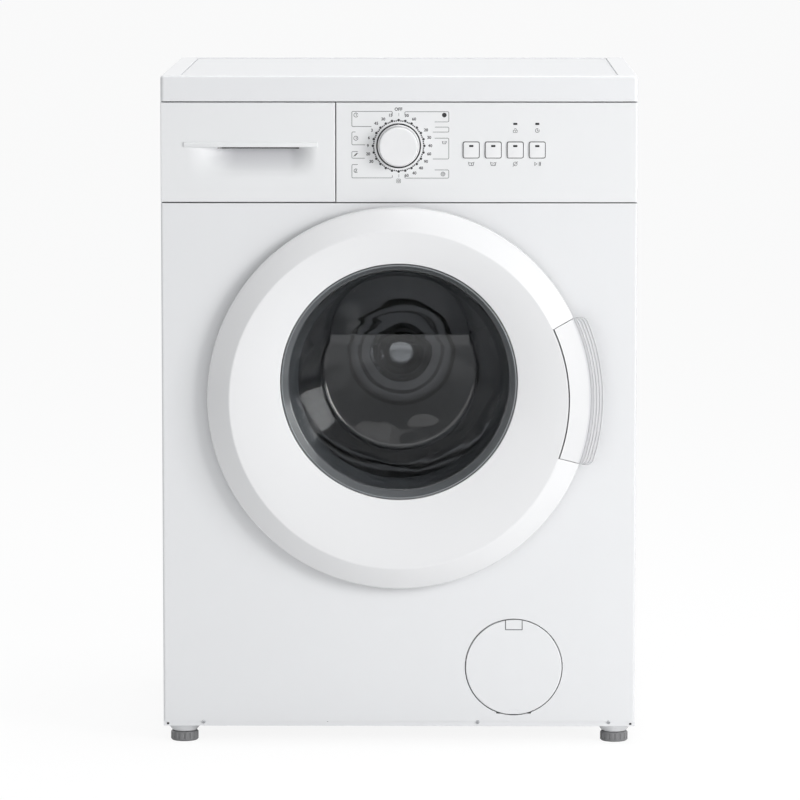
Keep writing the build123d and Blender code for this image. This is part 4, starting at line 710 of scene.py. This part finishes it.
# Ribs: fine rings along a hose, from its place in height.
ribs, ribs_in, ribs_out = new_group(
    "ribs", [("Pitch", VALUE, 200.0), ("Depth", VALUE, 0.5)], [("Normal", NORMAL), ("Shade", VALUE)])
ribs_where = add_node(ribs, "ShaderNodeTexCoord")
ribs_split = add_node(ribs, "ShaderNodeSeparateXYZ")
ribs_wave = add_node(ribs, "ShaderNodeMath", operation="MULTIPLY")
ribs_sine = add_node(ribs, "ShaderNodeMath", operation="SINE")
ribs_shade = add_node(ribs, "ShaderNodeMapRange", From_Min=-1.0, From_Max=1.0)
ribs_bump = add_node(ribs, "ShaderNodeBump", Distance=0.0012)
linked(ribs, (ribs_where, "Object", ribs_split, 0), (ribs_split, "Z", ribs_wave, 0),
       (ribs_in, "Pitch", ribs_wave, 1), (ribs_wave, 0, ribs_sine, 0), (ribs_sine, 0, ribs_shade, "Value"),
       (ribs_shade, "Result", ribs_bump, "Height"), (ribs_in, "Depth", ribs_bump, "Strength"),
       (ribs_bump, "Normal", ribs_out, "Normal"), (ribs_shade, "Result", ribs_out, "Shade"))


def ribbed(name, dark, light, gloss, pitch, depth):
    """A moulded rubber with rings along it, with painted shade darkening its grooves."""
    material, tree, shader = new_finish(name)
    rings = add_node(tree, "ShaderNodeGroup", node_tree=ribs, Pitch=pitch, Depth=depth)
    tone = add_node(tree, "ShaderNodeMix", data_type="RGBA", A=(*dark, 1), B=(*light, 1))
    linked(tree, (rings, "Shade", tone, "Factor"), (tone, "Result", shader, "Base Color"),
           (rings, "Normal", shader, "Normal"))
    shader.inputs["Roughness"].default_value = gloss
    return material


hose_black = ribbed("hose_rubber", (0.012, 0.012, 0.013), (0.03, 0.03, 0.032), 0.5, 1250.0, 0.5)
dress(hose_black, "water_hoses")

# ---------------------------------------------------------------- Control board and lock
# The board behind the knob is green fibreglass with tinned joints, cut and soldered by machine.
board_finish, board_tree, board_shader = new_finish("circuit_board")
board_place = add_node(board_tree, "ShaderNodeTexCoord")
board_cells = add_node(board_tree, "ShaderNodeTexVoronoi", feature="DISTANCE_TO_EDGE", Scale=160.0)
board_tracks = add_node(board_tree, "ShaderNodeMapRange", From_Min=0.02, From_Max=0.05)
board_tone = add_node(board_tree, "ShaderNodeMix", data_type="RGBA", A=(0.05, 0.2, 0.07, 1),
                      B=(0.015, 0.09, 0.03, 1))
linked(board_tree, (board_place, "Object", board_cells, "Vector"),
       (board_cells, "Distance", board_tracks, "Value"), (board_tracks, "Result", board_tone, "Factor"),
       (board_tone, "Result", board_shader, "Base Color"))
board_shader.inputs["Roughness"].default_value = 0.3
dress(board_finish, "control_board")

# ---------------------------------------------------------------- Door ring
# The ring round the window is one glossy ABS moulding: a bevelled rim and a face that dishes in to
# the window, which sits higher than the rim's centre. A sector of the rim is left out for the handle.
ring_low, ring_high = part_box("door_outer_frame")
door_r = -ring_low.x
door_z = ring_low.z + door_r
window_low, window_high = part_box("door_bezel")
window_r = (window_high.x - window_low.x) / 2
window_z = (window_low.z + window_high.z) / 2
window_y = window_low.y
crest_r = door_r - 0.0286
crest_y = ring_low.y
rim_y = crest_y + 0.024
rim_back_y = ring_high.y
shell_wall = 0.0026
handle_low, handle_high = radians(-19.7), radians(24.9)
handle_gap = 0.0009 / door_r
seat_low, seat_high = handle_low - handle_gap, handle_high + handle_gap


def turned_edges(mesh, radius, y, z, segments=192):
    """A circle of edges about a fore-and-aft axis."""
    made = bmesh.ops.create_circle(mesh, cap_ends=False, segments=segments, radius=radius,
                                   matrix=upright(0, y, z))
    return list({edge for vert in made["verts"] for edge in vert.link_edges})


door_white = skinned("glossy_white_abs", (0.85, 0.85, 0.855), (0.82, 0.82, 0.83), gloss=0.22, grain=500,
                     depth=0.04, Specular_IOR_Level=0.35, Coat_Weight=0.1, Coat_Roughness=0.08)

door_ring = bmesh.new()
circles = [turned_edges(door_ring, *circle) for circle in (
    (window_r - 0.0006, window_y + 0.018, window_z),
    (window_r, window_y, window_z),
    (crest_r, crest_y, door_z),
    (door_r, rim_y, door_z),
    (door_r, rim_back_y, door_z),
)]
for inner, outer in zip(circles[:-1], circles[1:]):
    bmesh.ops.bridge_loops(door_ring, edges=inner + outer)
for loop, rounding, segments in ((1, 0.0012, 3), (2, 0.0016, 4), (3, 0.004, 6)):
    rounded(door_ring, circles[loop], rounding, segments)


def angle_on_door(point):
    """Angle of a point about the door's centre, anticlockwise from the right."""
    return math.atan2(point.z - door_z, point.x)


def reach_on_door(point):
    """Distance of a point from the door's centre line."""
    return math.hypot(point.x, point.z - door_z)


for angle in (seat_low, seat_high):
    outer_faces = [face for face in door_ring.faces if reach_on_door(face.calc_center_median()) > crest_r
                   and abs(angle_on_door(face.calc_center_median()) - angle) < 0.1]
    cut = outer_faces + list({edge for face in outer_faces for edge in face.edges})
    bmesh.ops.bisect_plane(door_ring, geom=cut, plane_co=(0, 0, door_z),
                           plane_no=(-sin(angle), 0, cos(angle)))
handle_seat = [face for face in door_ring.faces
               if reach_on_door(face.calc_center_median()) > crest_r + 0.0001
               and seat_low < angle_on_door(face.calc_center_median()) < seat_high]
bmesh.ops.delete(door_ring, geom=handle_seat, context="FACES")
bmesh.ops.recalc_face_normals(door_ring, faces=door_ring.faces)
front_face = max(door_ring.faces, key=lambda face: face.calc_area())
if front_face.normal.y > 0:
    bmesh.ops.reverse_faces(door_ring, faces=door_ring.faces)
bmesh.ops.solidify(door_ring, geom=door_ring.faces[:], thickness=shell_wall)
finished("door_ring", door_ring, "door", door_white, ["door_outer_frame"])
dress(door_white, "door_inner_frame")

# ---------------------------------------------------------------- Window bezel
# A satin grey ring is clipped into the window. It has a narrow outer step and a cone that leads the
# eye into the glass, and it holds the bowl's flange against the inner frame.
bezel_grey = skinned("satin_grey_abs", (0.2, 0.213, 0.223), (0.17, 0.182, 0.192), gloss=0.24, grain=900,
                     depth=0.05, Coat_Weight=0.6, Coat_Roughness=0.12)
bezel_r = window_r - 0.0011
glass_face_y = window_high.y
bezel = spun([(bezel_r, window_y + 0.0006, 0.0007), (bezel_r - 0.0018, window_y + 0.0002, 0.0007),
              (bezel_r - 0.0022, window_y + 0.0016, 0), (window_r - 0.0079, glass_face_y - 0.0030, 0.0006),
              (window_r - 0.0091, glass_face_y, 0), (bezel_r, glass_face_y, 0)], 0, window_z, steps=192)
finished("window_bezel", bezel, "door", bezel_grey, ["door_bezel"])

# ---------------------------------------------------------------- Glass bowl
# The bowl is pressed from thick clear glass: a flange, a cone that reaches into the drum, a flat end
# and a slanted flat on top, which throws the washing back into the drum.
bowl_low, bowl_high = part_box("door_glass")
flange_r = (bowl_high.x - bowl_low.x) / 2
bowl_wall = 0.0035
mouth_r = flange_r - 0.010
bowl_end_r = 0.104
bowl_step = 0.006
bowl_end_y = bowl_high.y
flange_y = bowl_low.y + bowl_wall
deflector = (Vector((0, bowl_end_y - 0.005, window_z + 0.049)),
             Vector((0, flange_y + 0.010, window_z + mouth_r - 0.006)))
facet = (Vector((0, bowl_end_y, window_z + 0.035)), deflector[0])


def cup(wall):
    """One face of the bowl as an open cup, set in by a wall from the face inside the drum."""
    shell = bmesh.new()
    brim_y = flange_y - wall + 1e-5
    line = [shell.verts.new((radius, y - wall, window_z)) for radius, y in (
        (flange_r, flange_y), (mouth_r - 0.5 * wall, flange_y),
        (bowl_end_r - 0.9 * wall, bowl_end_y - bowl_step), (bowl_end_r - bowl_step - 0.6 * wall, bowl_end_y),
        (0, bowl_end_y))]
    for pair in zip(line[:-1], line[1:]):
        shell.edges.new(pair)
    rounded(shell, line[1:4], 0.003, kind="VERTICES")
    bmesh.ops.spin(shell, geom=shell.verts[:] + shell.edges[:], cent=(0, 0, window_z), axis=(0, 1, 0),
                   angle=2 * pi, steps=144, use_merge=True)
    merged(shell)
    for foot, head in (deflector, facet):
        run = (head - foot).normalized()
        upward = Vector((0, -run.z, run.y))
        if upward.z < 0:
            upward.negate()
        inner = [face for face in shell.faces if min(vert.co.y for vert in face.verts) > brim_y]
        sides = list({side for face in inner for side in face.edges})
        inner += sides + list({vert for side in sides for vert in side.verts})
        sliced = bmesh.ops.bisect_plane(shell, geom=inner, plane_co=foot - upward * wall, plane_no=upward,
                                        clear_outer=True)
        rim = [item for item in sliced["geom_cut"] if isinstance(item, bmesh.types.BMEdge)]
        bmesh.ops.contextual_create(shell, geom=rim)
    merged(shell, 2e-5)
    flats = [face for face in shell.faces if len(face.verts) > 12]
    ridges = list({side for face in flats for side in face.edges})
    rounded(shell, ridges, 0.0012, segments=3, clamp=True)
    merged(shell, 2e-5)
    # The two flats at the end are made anew from their rightmost corner on, so that they are split
    # in the same way each time.
    for flat in [face for face in shell.faces if len(face.verts) > 12 and abs(face.normal.y) > 0.9]:
        corners = flat.verts[:]
        first = corners.index(max(corners, key=lambda corner: corner.co.x + 0.01 * corner.co.z))
        shell.faces.remove(flat)
        shell.faces.new(corners[first:] + corners[:first])
    return shell


bowl = cup(0)
poured(bowl, cup(bowl_wall))
brims = [side for side in bowl.edges if side.is_boundary]
bmesh.ops.bridge_loops(bowl, edges=brims)
pressed_glass, tree, glass_shader = new_finish("pressed_glass")
glass_shader.inputs["Transmission Weight"].default_value = 1.0
glass_shader.inputs["IOR"].default_value = 1.5
glass_shader.inputs["Specular IOR Level"].default_value = 0.3
glass_shader.inputs["Base Color"].default_value = (0.57, 0.585, 0.6, 1)
glass_place = add_node(tree, "ShaderNodeTexCoord")
glass_flow = add_node(tree, "ShaderNodeTexNoise", Scale=11.0, Detail=1.0, Distortion=0.6)
glass_bump = add_node(tree, "ShaderNodeBump", Strength=0.6, Distance=0.004)
glass_haze = add_node(tree, "ShaderNodeMath", operation="MULTIPLY")
glass_haze.inputs[1].default_value = 0.03
glass_shadow = add_node(tree, "ShaderNodeBsdfTransparent", Color=(0.5, 0.51, 0.52, 1))
glass_light = add_node(tree, "ShaderNodeLightPath")
glass_mix = add_node(tree, "ShaderNodeMixShader")
linked(tree, (glass_place, "Object", glass_flow, "Vector"), (glass_flow, "Fac", glass_bump, "Height"),
       (glass_flow, "Fac", glass_haze, 0), (glass_haze, 0, glass_shader, "Roughness"),
       (glass_bump, "Normal", glass_shader, "Normal"), (glass_light, "Is Shadow Ray", glass_mix, "Fac"),
       (glass_shader, 0, glass_mix, 1), (glass_shadow, 0, glass_mix, 2),
       (glass_mix, 0, tree.nodes["Material Output"], "Surface"))
finished("glass_bowl", bowl, "door", pressed_glass, ["door_glass"], smooth=40)

# ---------------------------------------------------------------- Door handle
# The handle is a rocking sector of the rim, moulded in the same white, with a ribbed lip that stands
# out over the cabinet for the fingers. It turns on a steel pin and ends in a hook for the lock.
lip_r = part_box("door_handle")[1].x - 0.0024
lip_y = rim_y - 0.0015
rib_high, rib_wide, rib_pitch = 0.0014, 0.0016, 0.0036
seat_r = crest_r + 0.0014
hook_r = door_r - 0.0035
handle_wall = 0.0038


def bevel_y(radius, under=0.0):
    """Depth of the rim's bevelled face at a radius, or under it."""
    return rim_y + under + (radius - door_r) * (rim_y - crest_y) / (door_r - crest_r)


outline = [(seat_r, bevel_y(seat_r), 0.0006), (door_r - 0.0005, bevel_y(door_r - 0.0005), 0),
           (door_r + 0.001, lip_y, 0)]
for rib in range(4):
    rib_r = door_r + 0.0034 + rib * rib_pitch
    outline += [(rib_r, lip_y, 0.0003), (rib_r + rib_wide / 2, lip_y - rib_high, 0.0003),
                (rib_r + rib_wide, lip_y, 0.0003)]
outline += [(lip_r, lip_y, 0.001), (lip_r, lip_y + 0.0035, 0.001), (door_r + 0.002, lip_y + 0.004, 0.002),
            (door_r - 0.0005, rim_back_y - 0.004, 0.001), (hook_r, rim_back_y - 0.004, 0),
            (hook_r, bevel_y(hook_r, handle_wall), 0),
            (seat_r + 0.002, bevel_y(seat_r + 0.002, handle_wall), 0),
            (seat_r, bevel_y(seat_r, handle_wall), 0)]
handle = spun(outline, 0, door_z, handle_low, handle_high - handle_low, steps=150)
# The lip's two ends are rounded off.
corner = 0.010
lip_root = door_r + 0.0012
for vert in handle.verts:
    reach = reach_on_door(vert.co)
    turn = angle_on_door(vert.co)
    from_end = min(turn - handle_low, handle_high - turn) * door_r
    if reach > lip_root and from_end < corner:
        kept = math.sqrt(max(1 - (1 - from_end / corner) ** 2, 0.0)) * 0.85 + 0.15
        shorter = (lip_root + (reach - lip_root) * kept) / reach
        vert.co.x *= shorter
        vert.co.z = door_z + (vert.co.z - door_z) * shorter
# The handle's white is set darker than the ring's, though both are one moulding: painted shade that keeps
# the handle from burning out under the key lamp.
painted_shade_handle_white = skinned("handle_abs_with_painted_shade", (0.78, 0.78, 0.785), (0.76, 0.76, 0.765), gloss=0.3, grain=700,
                       depth=0.05, Specular_IOR_Level=0.3, Coat_Weight=0.05, Coat_Roughness=0.14)
# Painted shade: the grooves of the lip, the face near its outer edge and everything behind them are coloured
# darker than the ribs.
with_painted_recess_shade(painted_shade_handle_white, (0.66, 0.66, 0.675), lip_y - 0.8 * rib_high, lip_y)
finished("handle_grip", handle, "handle", painted_shade_handle_white, ["door_handle"])

# ---------------------------------------------------------------- Hinge and pins
# The hinge is a zinc-plated pressing screwed to the cabinet's front, and its pins are turned steel.
# The plating has a fine spangle.
plated = skinned("zinc_plate", (0.58, 0.59, 0.6), (0.46, 0.47, 0.49), gloss=0.28, gloss_drift=0.16,
                 grain=180, depth=0.1, drift=0.9, Metallic=1.0)
dress(plated, "hinge_bracket", "door_pins", "foot_nuts", "gasket_clamp")

# ---------------------------------------------------------------- Door gasket
# A grey rubber bellows joins the cabinet's port to the tub's mouth. Its lip seals on the glass, and
# it bends as the tub bounces.


def flexing(name, node, material, levels=(0, 1)):
    """A copy of what a CAD node has between two levels, which stands in its place."""
    mesh = bmesh.new()
    mesh.from_mesh(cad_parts[node].data)
    merged(mesh)
    spare = [vert for vert in mesh.verts if not levels[0] < vert.co.z < levels[1]]
    bmesh.ops.delete(mesh, geom=spare, context="VERTS")
    made = smoothed(name, mesh, material, 35)
    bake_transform(made)
    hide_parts(node)


drum_low, drum_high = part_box("drum_shell")
drum_z = (drum_low.z + drum_high.z) / 2
gasket_grey = skinned("gasket_rubber", (0.13, 0.135, 0.14), (0.1, 0.105, 0.11), gloss=0.45, grain=1100,
                      depth=0.2, drift=0.8)
flexing("gasket_bellows", "door_gasket", gasket_grey)

# ---------------------------------------------------------------- Tub, weights and heater
# The tub is two halves of mineral-filled polypropylene, grey with pale specks. Cast concrete blocks
# bolted to it keep it still in the spin, and a bent steel heater lies in its sump.
filled, filled_tree, filled_shader = new_finish("filled_polypropylene")
filled_place = add_node(filled_tree, "ShaderNodeTexCoord")
filled_specks = add_node(filled_tree, "ShaderNodeTexNoise", Scale=420.0, Detail=4.0, Roughness=0.7)
filled_spread = add_node(filled_tree, "ShaderNodeMapRange", From_Min=0.52, From_Max=0.7)
filled_tone = add_node(filled_tree, "ShaderNodeMix", data_type="RGBA", A=(0.27, 0.27, 0.265, 1),
                       B=(0.42, 0.42, 0.41, 1))
filled_bump = add_node(filled_tree, "ShaderNodeBump", Strength=0.25, Distance=0.0006)
linked(filled_tree, (filled_place, "Object", filled_specks, "Vector"),
       (filled_specks, "Fac", filled_spread, "Value"), (filled_spread, "Result", filled_tone, "Factor"),
       (filled_tone, "Result", filled_shader, "Base Color"), (filled_specks, "Fac", filled_bump, "Height"),
       (filled_bump, "Normal", filled_shader, "Normal"))
filled_shader.inputs["Roughness"].default_value = 0.48
dress(filled, "tub_front", "tub_rear")

concrete, concrete_tree, concrete_shader = new_finish("cast_concrete")
stone_place = add_node(concrete_tree, "ShaderNodeTexCoord")
stone_grains = add_node(concrete_tree, "ShaderNodeTexVoronoi", Scale=240.0)
stone_cloud = add_node(concrete_tree, "ShaderNodeTexNoise", Scale=18.0, Detail=6.0, Roughness=0.65)
stone_mask = add_node(concrete_tree, "ShaderNodeMapRange", From_Min=0.1, From_Max=0.5)
stone_base = add_node(concrete_tree, "ShaderNodeMix", data_type="RGBA", A=(0.27, 0.265, 0.25, 1),
                      B=(0.42, 0.41, 0.39, 1))
stone_spots = add_node(concrete_tree, "ShaderNodeMix", data_type="RGBA", A=(0.17, 0.165, 0.16, 1))
stone_bump = add_node(concrete_tree, "ShaderNodeBump", Strength=0.7, Distance=0.0015)
linked(concrete_tree, (stone_place, "Object", stone_grains, "Vector"),
       (stone_place, "Object", stone_cloud, "Vector"), (stone_cloud, "Fac", stone_base, "Factor"),
       (stone_grains, "Distance", stone_mask, "Value"), (stone_mask, "Result", stone_spots, "Factor"),
       (stone_base, "Result", stone_spots, "B"), (stone_spots, "Result", concrete_shader, "Base Color"),
       (stone_cloud, "Fac", stone_bump, "Height"), (stone_bump, "Normal", concrete_shader, "Normal"))
concrete_shader.inputs["Roughness"].default_value = 0.85
dress(concrete, "counterweight_front", "counterweight_top")
heater_steel = skinned("heater_sheath", (0.34, 0.33, 0.31), (0.24, 0.22, 0.2), gloss=0.35, grain=300,
                       depth=0.15, drift=1.0, Metallic=1.0)
dress(heater_steel, "heater")

# ---------------------------------------------------------------- Drum
# The drum is rolled from thin stainless sheet with a perforated wall, a turned-over mouth and a
# pressed back. Hollow grey lifters are clipped to the wall, and the cast spider holds it behind.
drum_r = drum_high.x
drum_mouth_r = 0.143
drum_front_y, drum_back_y = drum_low.y, drum_high.y
bend = 0.012
sheet = 0.0008
holes_round, hole_rows = 96, 15
wall_front_y = drum_front_y + bend + 0.002
wall_back_y = drum_back_y - 0.002

perforated = bmesh.new()
bmesh.ops.create_grid(perforated, x_segments=holes_round, y_segments=hole_rows, size=0.5,
                      matrix=Matrix.Diagonal((2 * pi * drum_r, wall_back_y - wall_front_y, 1, 1)))
bmesh.ops.inset_individual(perforated, faces=perforated.faces[:], thickness=0.0052, depth=0.0)
hole_faces = [face for face in perforated.faces
              if all(len(vert.link_edges) == 3 and not vert.is_boundary for vert in face.verts)]
hole_corners = list({vert for face in hole_faces for vert in face.verts})
rounded(perforated, hole_corners, 0.0014, segments=1, kind="VERTICES")
punched = [face for face in perforated.faces if len(face.verts) == 8]
bmesh.ops.delete(perforated, geom=punched, context="FACES")
for vert in perforated.verts:
    turn = vert.co.x / drum_r
    vert.co = ((drum_r - sheet / 2) * sin(turn), (wall_front_y + wall_back_y) / 2 + vert.co.y,
               drum_z + (drum_r - sheet / 2) * cos(turn))
merged(perforated, 1e-5)
bmesh.ops.recalc_face_normals(perforated, faces=perforated.faces)
sample = perforated.faces[0]
sample_place = sample.calc_center_median()
if sample.normal.dot(sample_place - Vector((0, sample_place.y, drum_z))) < 0:
    bmesh.ops.reverse_faces(perforated, faces=perforated.faces)
bmesh.ops.solidify(perforated, geom=perforated.faces[:], thickness=sheet)

front_wall = spun([(drum_mouth_r, drum_front_y + 0.007, 0), (drum_mouth_r, drum_front_y, 0.0025),
                   (drum_r - bend, drum_front_y, 0.006), (drum_r, drum_front_y + bend, 0.006),
                   (drum_r, wall_front_y, 0), (drum_r - sheet, wall_front_y, 0),
                   (drum_r - sheet, drum_front_y + bend + 0.0003, 0.0055),
                   (drum_r - bend - 0.0003, drum_front_y + sheet, 0.0055),
                   (drum_mouth_r + sheet, drum_front_y + sheet, 0.0018),
                   (drum_mouth_r + sheet, drum_front_y + 0.007, 0)], 0, drum_z, steps=128)
poured(perforated, front_wall)
back_y = drum_back_y - 0.0015
inner_bead_y, outer_bead_y = drum_back_y - 0.005, drum_back_y - 0.006
back_wall = spun([(drum_r, wall_back_y, 0), (drum_r, drum_back_y, 0.0015), (0, drum_back_y, 0),
                  (0, back_y, 0), (0.052, back_y, 0.001), (0.056, inner_bead_y, 0.002),
                  (0.068, inner_bead_y, 0.002), (0.072, back_y, 0.001), (0.150, back_y, 0.003),
                  (0.156, outer_bead_y, 0.003), (0.186, outer_bead_y, 0.003), (0.192, back_y, 0.003),
                  (drum_r - sheet, back_y, 0.0015), (drum_r - sheet, wall_back_y, 0)],
                 0, drum_z, steps=128)
poured(perforated, back_wall)
drum_steel = skinned("brushed_stainless", (0.24, 0.24, 0.245), (0.17, 0.17, 0.175), gloss=0.28,
                     gloss_drift=0.1, grain=240, depth=0.12, drift=0.8, Metallic=1.0)
finished("perforated_drum", perforated, "drum", drum_steel, ["drum_shell"], smooth=30)
polished = skinned("polished_stainless", (0.62, 0.62, 0.63), (0.55, 0.55, 0.56), gloss=0.14, grain=200,
                   depth=0.04, Metallic=1.0)
hub = spun([(0, drum_back_y - 0.0215, 0), (0.012, drum_back_y - 0.0209, 0.004),
            (0.0225, drum_back_y - 0.0188, 0.006), (0.031, drum_back_y - 0.0135, 0.006),
            (0.035, drum_back_y - 0.0055, 0.003), (0.041, drum_back_y - 0.0026, 0.002),
            (0.041, drum_back_y - 0.0016, 0), (0, drum_back_y - 0.0016, 0)], 0, drum_z, steps=64)
finished("drum_hub", hub, "drum", polished)
lifter_grey = skinned("lifter_polypropylene", (0.2, 0.205, 0.21), (0.17, 0.175, 0.18), gloss=0.35, grain=600,
                      depth=0.15)
dress(lifter_grey, "drum_lifters")
cast_alloy = skinned("cast_aluminium", (0.5, 0.5, 0.51), (0.38, 0.38, 0.39), gloss=0.5, gloss_drift=0.15,
                     grain=420, depth=0.5, drift=0.9, Metallic=1.0)
dress(cast_alloy, "drum_spider", "drum_pulley", "motor_pulley")
bearing_steel = skinned("bearing_steel", (0.6, 0.6, 0.61), (0.5, 0.5, 0.52), gloss=0.16, grain=300,
                        depth=0.05, Metallic=1.0)
dress(bearing_steel, "shaft_bearings")

# ---------------------------------------------------------------- Motor and belt
# The motor's stack of steel laminations is painted and hangs under the tub. A ribbed rubber belt
# runs from its small pulley to the big cast one on the drum's shaft.
motor_paint = skinned("motor_laminations", (0.16, 0.165, 0.17), (0.1, 0.1, 0.105), gloss=0.38,
                      gloss_drift=0.15, grain=260, depth=0.35, drift=1.0, Metallic=0.6)
dress(motor_paint, "motor")
belt_rubber = skinned("belt_rubber", (0.025, 0.025, 0.026), (0.04, 0.04, 0.04), gloss=0.6, grain=1400,
                      depth=0.4)
dress(belt_rubber, "drive_belt")

# ---------------------------------------------------------------- Springs, dampers and hoses
# The tub hangs on two coil springs of plated wire and stands on two friction dampers. The springs
# and the rubber hoses are fixed to the cabinet at one end, and give as the tub moves.
spring_steel = skinned("spring_wire", (0.4, 0.4, 0.41), (0.3, 0.3, 0.31), gloss=0.3, gloss_drift=0.1,
                       grain=350, depth=0.1, Metallic=1.0)
flexing("tub_springs", "suspension_springs", spring_steel)
hose_low, hose_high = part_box("tub_hoses")
hose_middle = (hose_low.z + hose_high.z) / 2
flexing("upper_hose", "tub_hoses", hose_black,
        (hose_middle, 1))
flexing("sump_hose", "tub_hoses", hose_black,
        (0, hose_middle))
dress(spring_steel, "damper_rods")
damper_grey = skinned("damper_paint", (0.12, 0.12, 0.125), (0.09, 0.09, 0.095), gloss=0.35, grain=500,
                      depth=0.2)
dress(damper_grey, "damper_cylinders")

# ---------------------------------------------------------------- Pump, filter and cover
# The drain pump and its screw-in filter sit low on the right behind a round hatch. The hatch is
# white ABS that tilts on its lower edge, with two slots beside the tab that opens it.
pump_grey = skinned("pump_polypropylene", (0.2, 0.2, 0.2), (0.16, 0.16, 0.165), gloss=0.4, grain=500,
                    depth=0.25)
dress(pump_grey, "drain_pump")
filter_grey = skinned("filter_polypropylene", (0.34, 0.345, 0.35), (0.3, 0.3, 0.31), gloss=0.38, grain=500,
                      depth=0.2)
dress(filter_grey, "pump_filter")
cover_white = skinned("cover_moulding", (0.85, 0.855, 0.865), (0.82, 0.825, 0.835), gloss=0.22, grain=600,
                      depth=0.06, Coat_Weight=0.2, Coat_Roughness=0.1)
dress(cover_white, "filter_cover")

# The cover's hinge notch is closed by a thin lip, flush with its face, and a dark line under the tab is
# painted shadow of its gap.
hatch_low, hatch_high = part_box("filter_cover")
hatch_x = (hatch_low.x + hatch_high.x) / 2
notch_half, notch_head = 0.00545, hatch_high.z - 0.11525
hatch_lip = block_between((hatch_x - notch_half, hatch_low.y, hatch_low.z + 0.0003),
                          (hatch_x + notch_half, hatch_low.y + 0.0007, notch_head))
finished("hatch_lip", hatch_lip, "filter_door", cover_white)
tab_half, tab_z = 0.0105, hatch_high.z - 0.0131
painted_tab_shadow = block_between((hatch_x - tab_half, hatch_low.y - 0.00005, tab_z),
                         (hatch_x + tab_half, hatch_low.y + 0.0003, tab_z + 0.0009))
finished("painted_tab_shadow", painted_tab_shadow, "filter_door", smoked_and_shadow_dark)

# ---------------------------------------------------------------- Feet and caps
# Four grey polyamide feet on steel threads level the machine and are locked by nuts. Grey caps plug
# the holes of the shipping bolts in the back.
foot_grey = skinned("foot_polyamide", (0.26, 0.26, 0.265), (0.2, 0.2, 0.205), gloss=0.45, grain=700,
                    depth=0.3, drift=0.8)
dress(foot_grey, "foot_front_left", "foot_front_right", "foot_rear_left", "foot_rear_right", "transit_caps")

# ---------------------------------------------------------------- Screws
# Zinc-plated pan-head screws with a round socket hold the base strip, the back panel and its cover.
# The strip also has a drain hole and two square holes at its ends, which the jig leaves; dark blocks on the
# strip stand for them as painted shadow.
strip_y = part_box("base_tray")[0].y
strip_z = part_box("front_panel")[0].z - 0.0006
panel_low, panel_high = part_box("back_panel")
lid_low, lid_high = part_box("back_cover")


def screwed(mesh, radius, x, y, z, outwards):
    """A pan head with a socket; outwards is -1 where it faces the front and 1 at the back."""
    head = spun([(0, 0.0006, 0), (radius * 0.34, 0.0006, 0), (radius * 0.42, -0.0011, 0.0001),
                 (radius * 0.7, -0.001, 0), (radius, -0.0003, 0.0002), (radius, 0.0008, 0), (0, 0.0008, 0)],
                0, 0, steps=20)
    facing = Matrix.Rotation(pi, 4, "Z") if outwards > 0 else Matrix.Identity(4)
    poured(mesh, head, Matrix.Translation((x, y, z)) @ facing)


screws = bmesh.new()
small_r, broad_r = 0.0024, 0.0035
for screw_x in (-0.2478, 0.0996, 0.2654):
    screwed(screws, small_r, screw_x, front_y, strip_z, -1)
panel_y = panel_high.y - 0.0019
for screw_x in (panel_low.x + 0.008, panel_high.x - 0.008):
    for level in range(6):
        screwed(screws, broad_r, screw_x, panel_y, 0.06 + 0.14 * level, 1)
for screw_x in (-0.18, 0.0, 0.18):
    for screw_z in (panel_low.z + 0.012, panel_high.z - 0.012):
        screwed(screws, broad_r, screw_x, panel_y, screw_z, 1)
lid_z = (lid_low.z + lid_high.z) / 2
lid_r = (lid_high.x - lid_low.x) / 2 - 0.007
for count in range(8):
    turn = radians(22.5 + 45 * count)
    screwed(screws, broad_r, lid_r * cos(turn), panel_high.y - 0.0006, lid_z + lid_r * sin(turn), 1)
finished("screws", screws, "cabinet", plated)

# The holes are not cut: dark blocks in their places are painted shadow.
painted_hole_shadows = bmesh.new()
for hole_x in (-0.2929, 0.2929):
    poured(painted_hole_shadows, block_between((hole_x - 0.0015, strip_y - 0.0001, strip_z - 0.0036),
                                (hole_x + 0.0015, strip_y + 0.0004, strip_z - 0.0010), 0.0004))
poured(painted_hole_shadows, block_between((-0.0915, strip_y - 0.0001, strip_z),
                            (-0.0899, strip_y + 0.0004, strip_z + 0.0011), 0.0003))
finished("painted_strip_hole_shadows", painted_hole_shadows, "cabinet", smoked_and_shadow_dark)
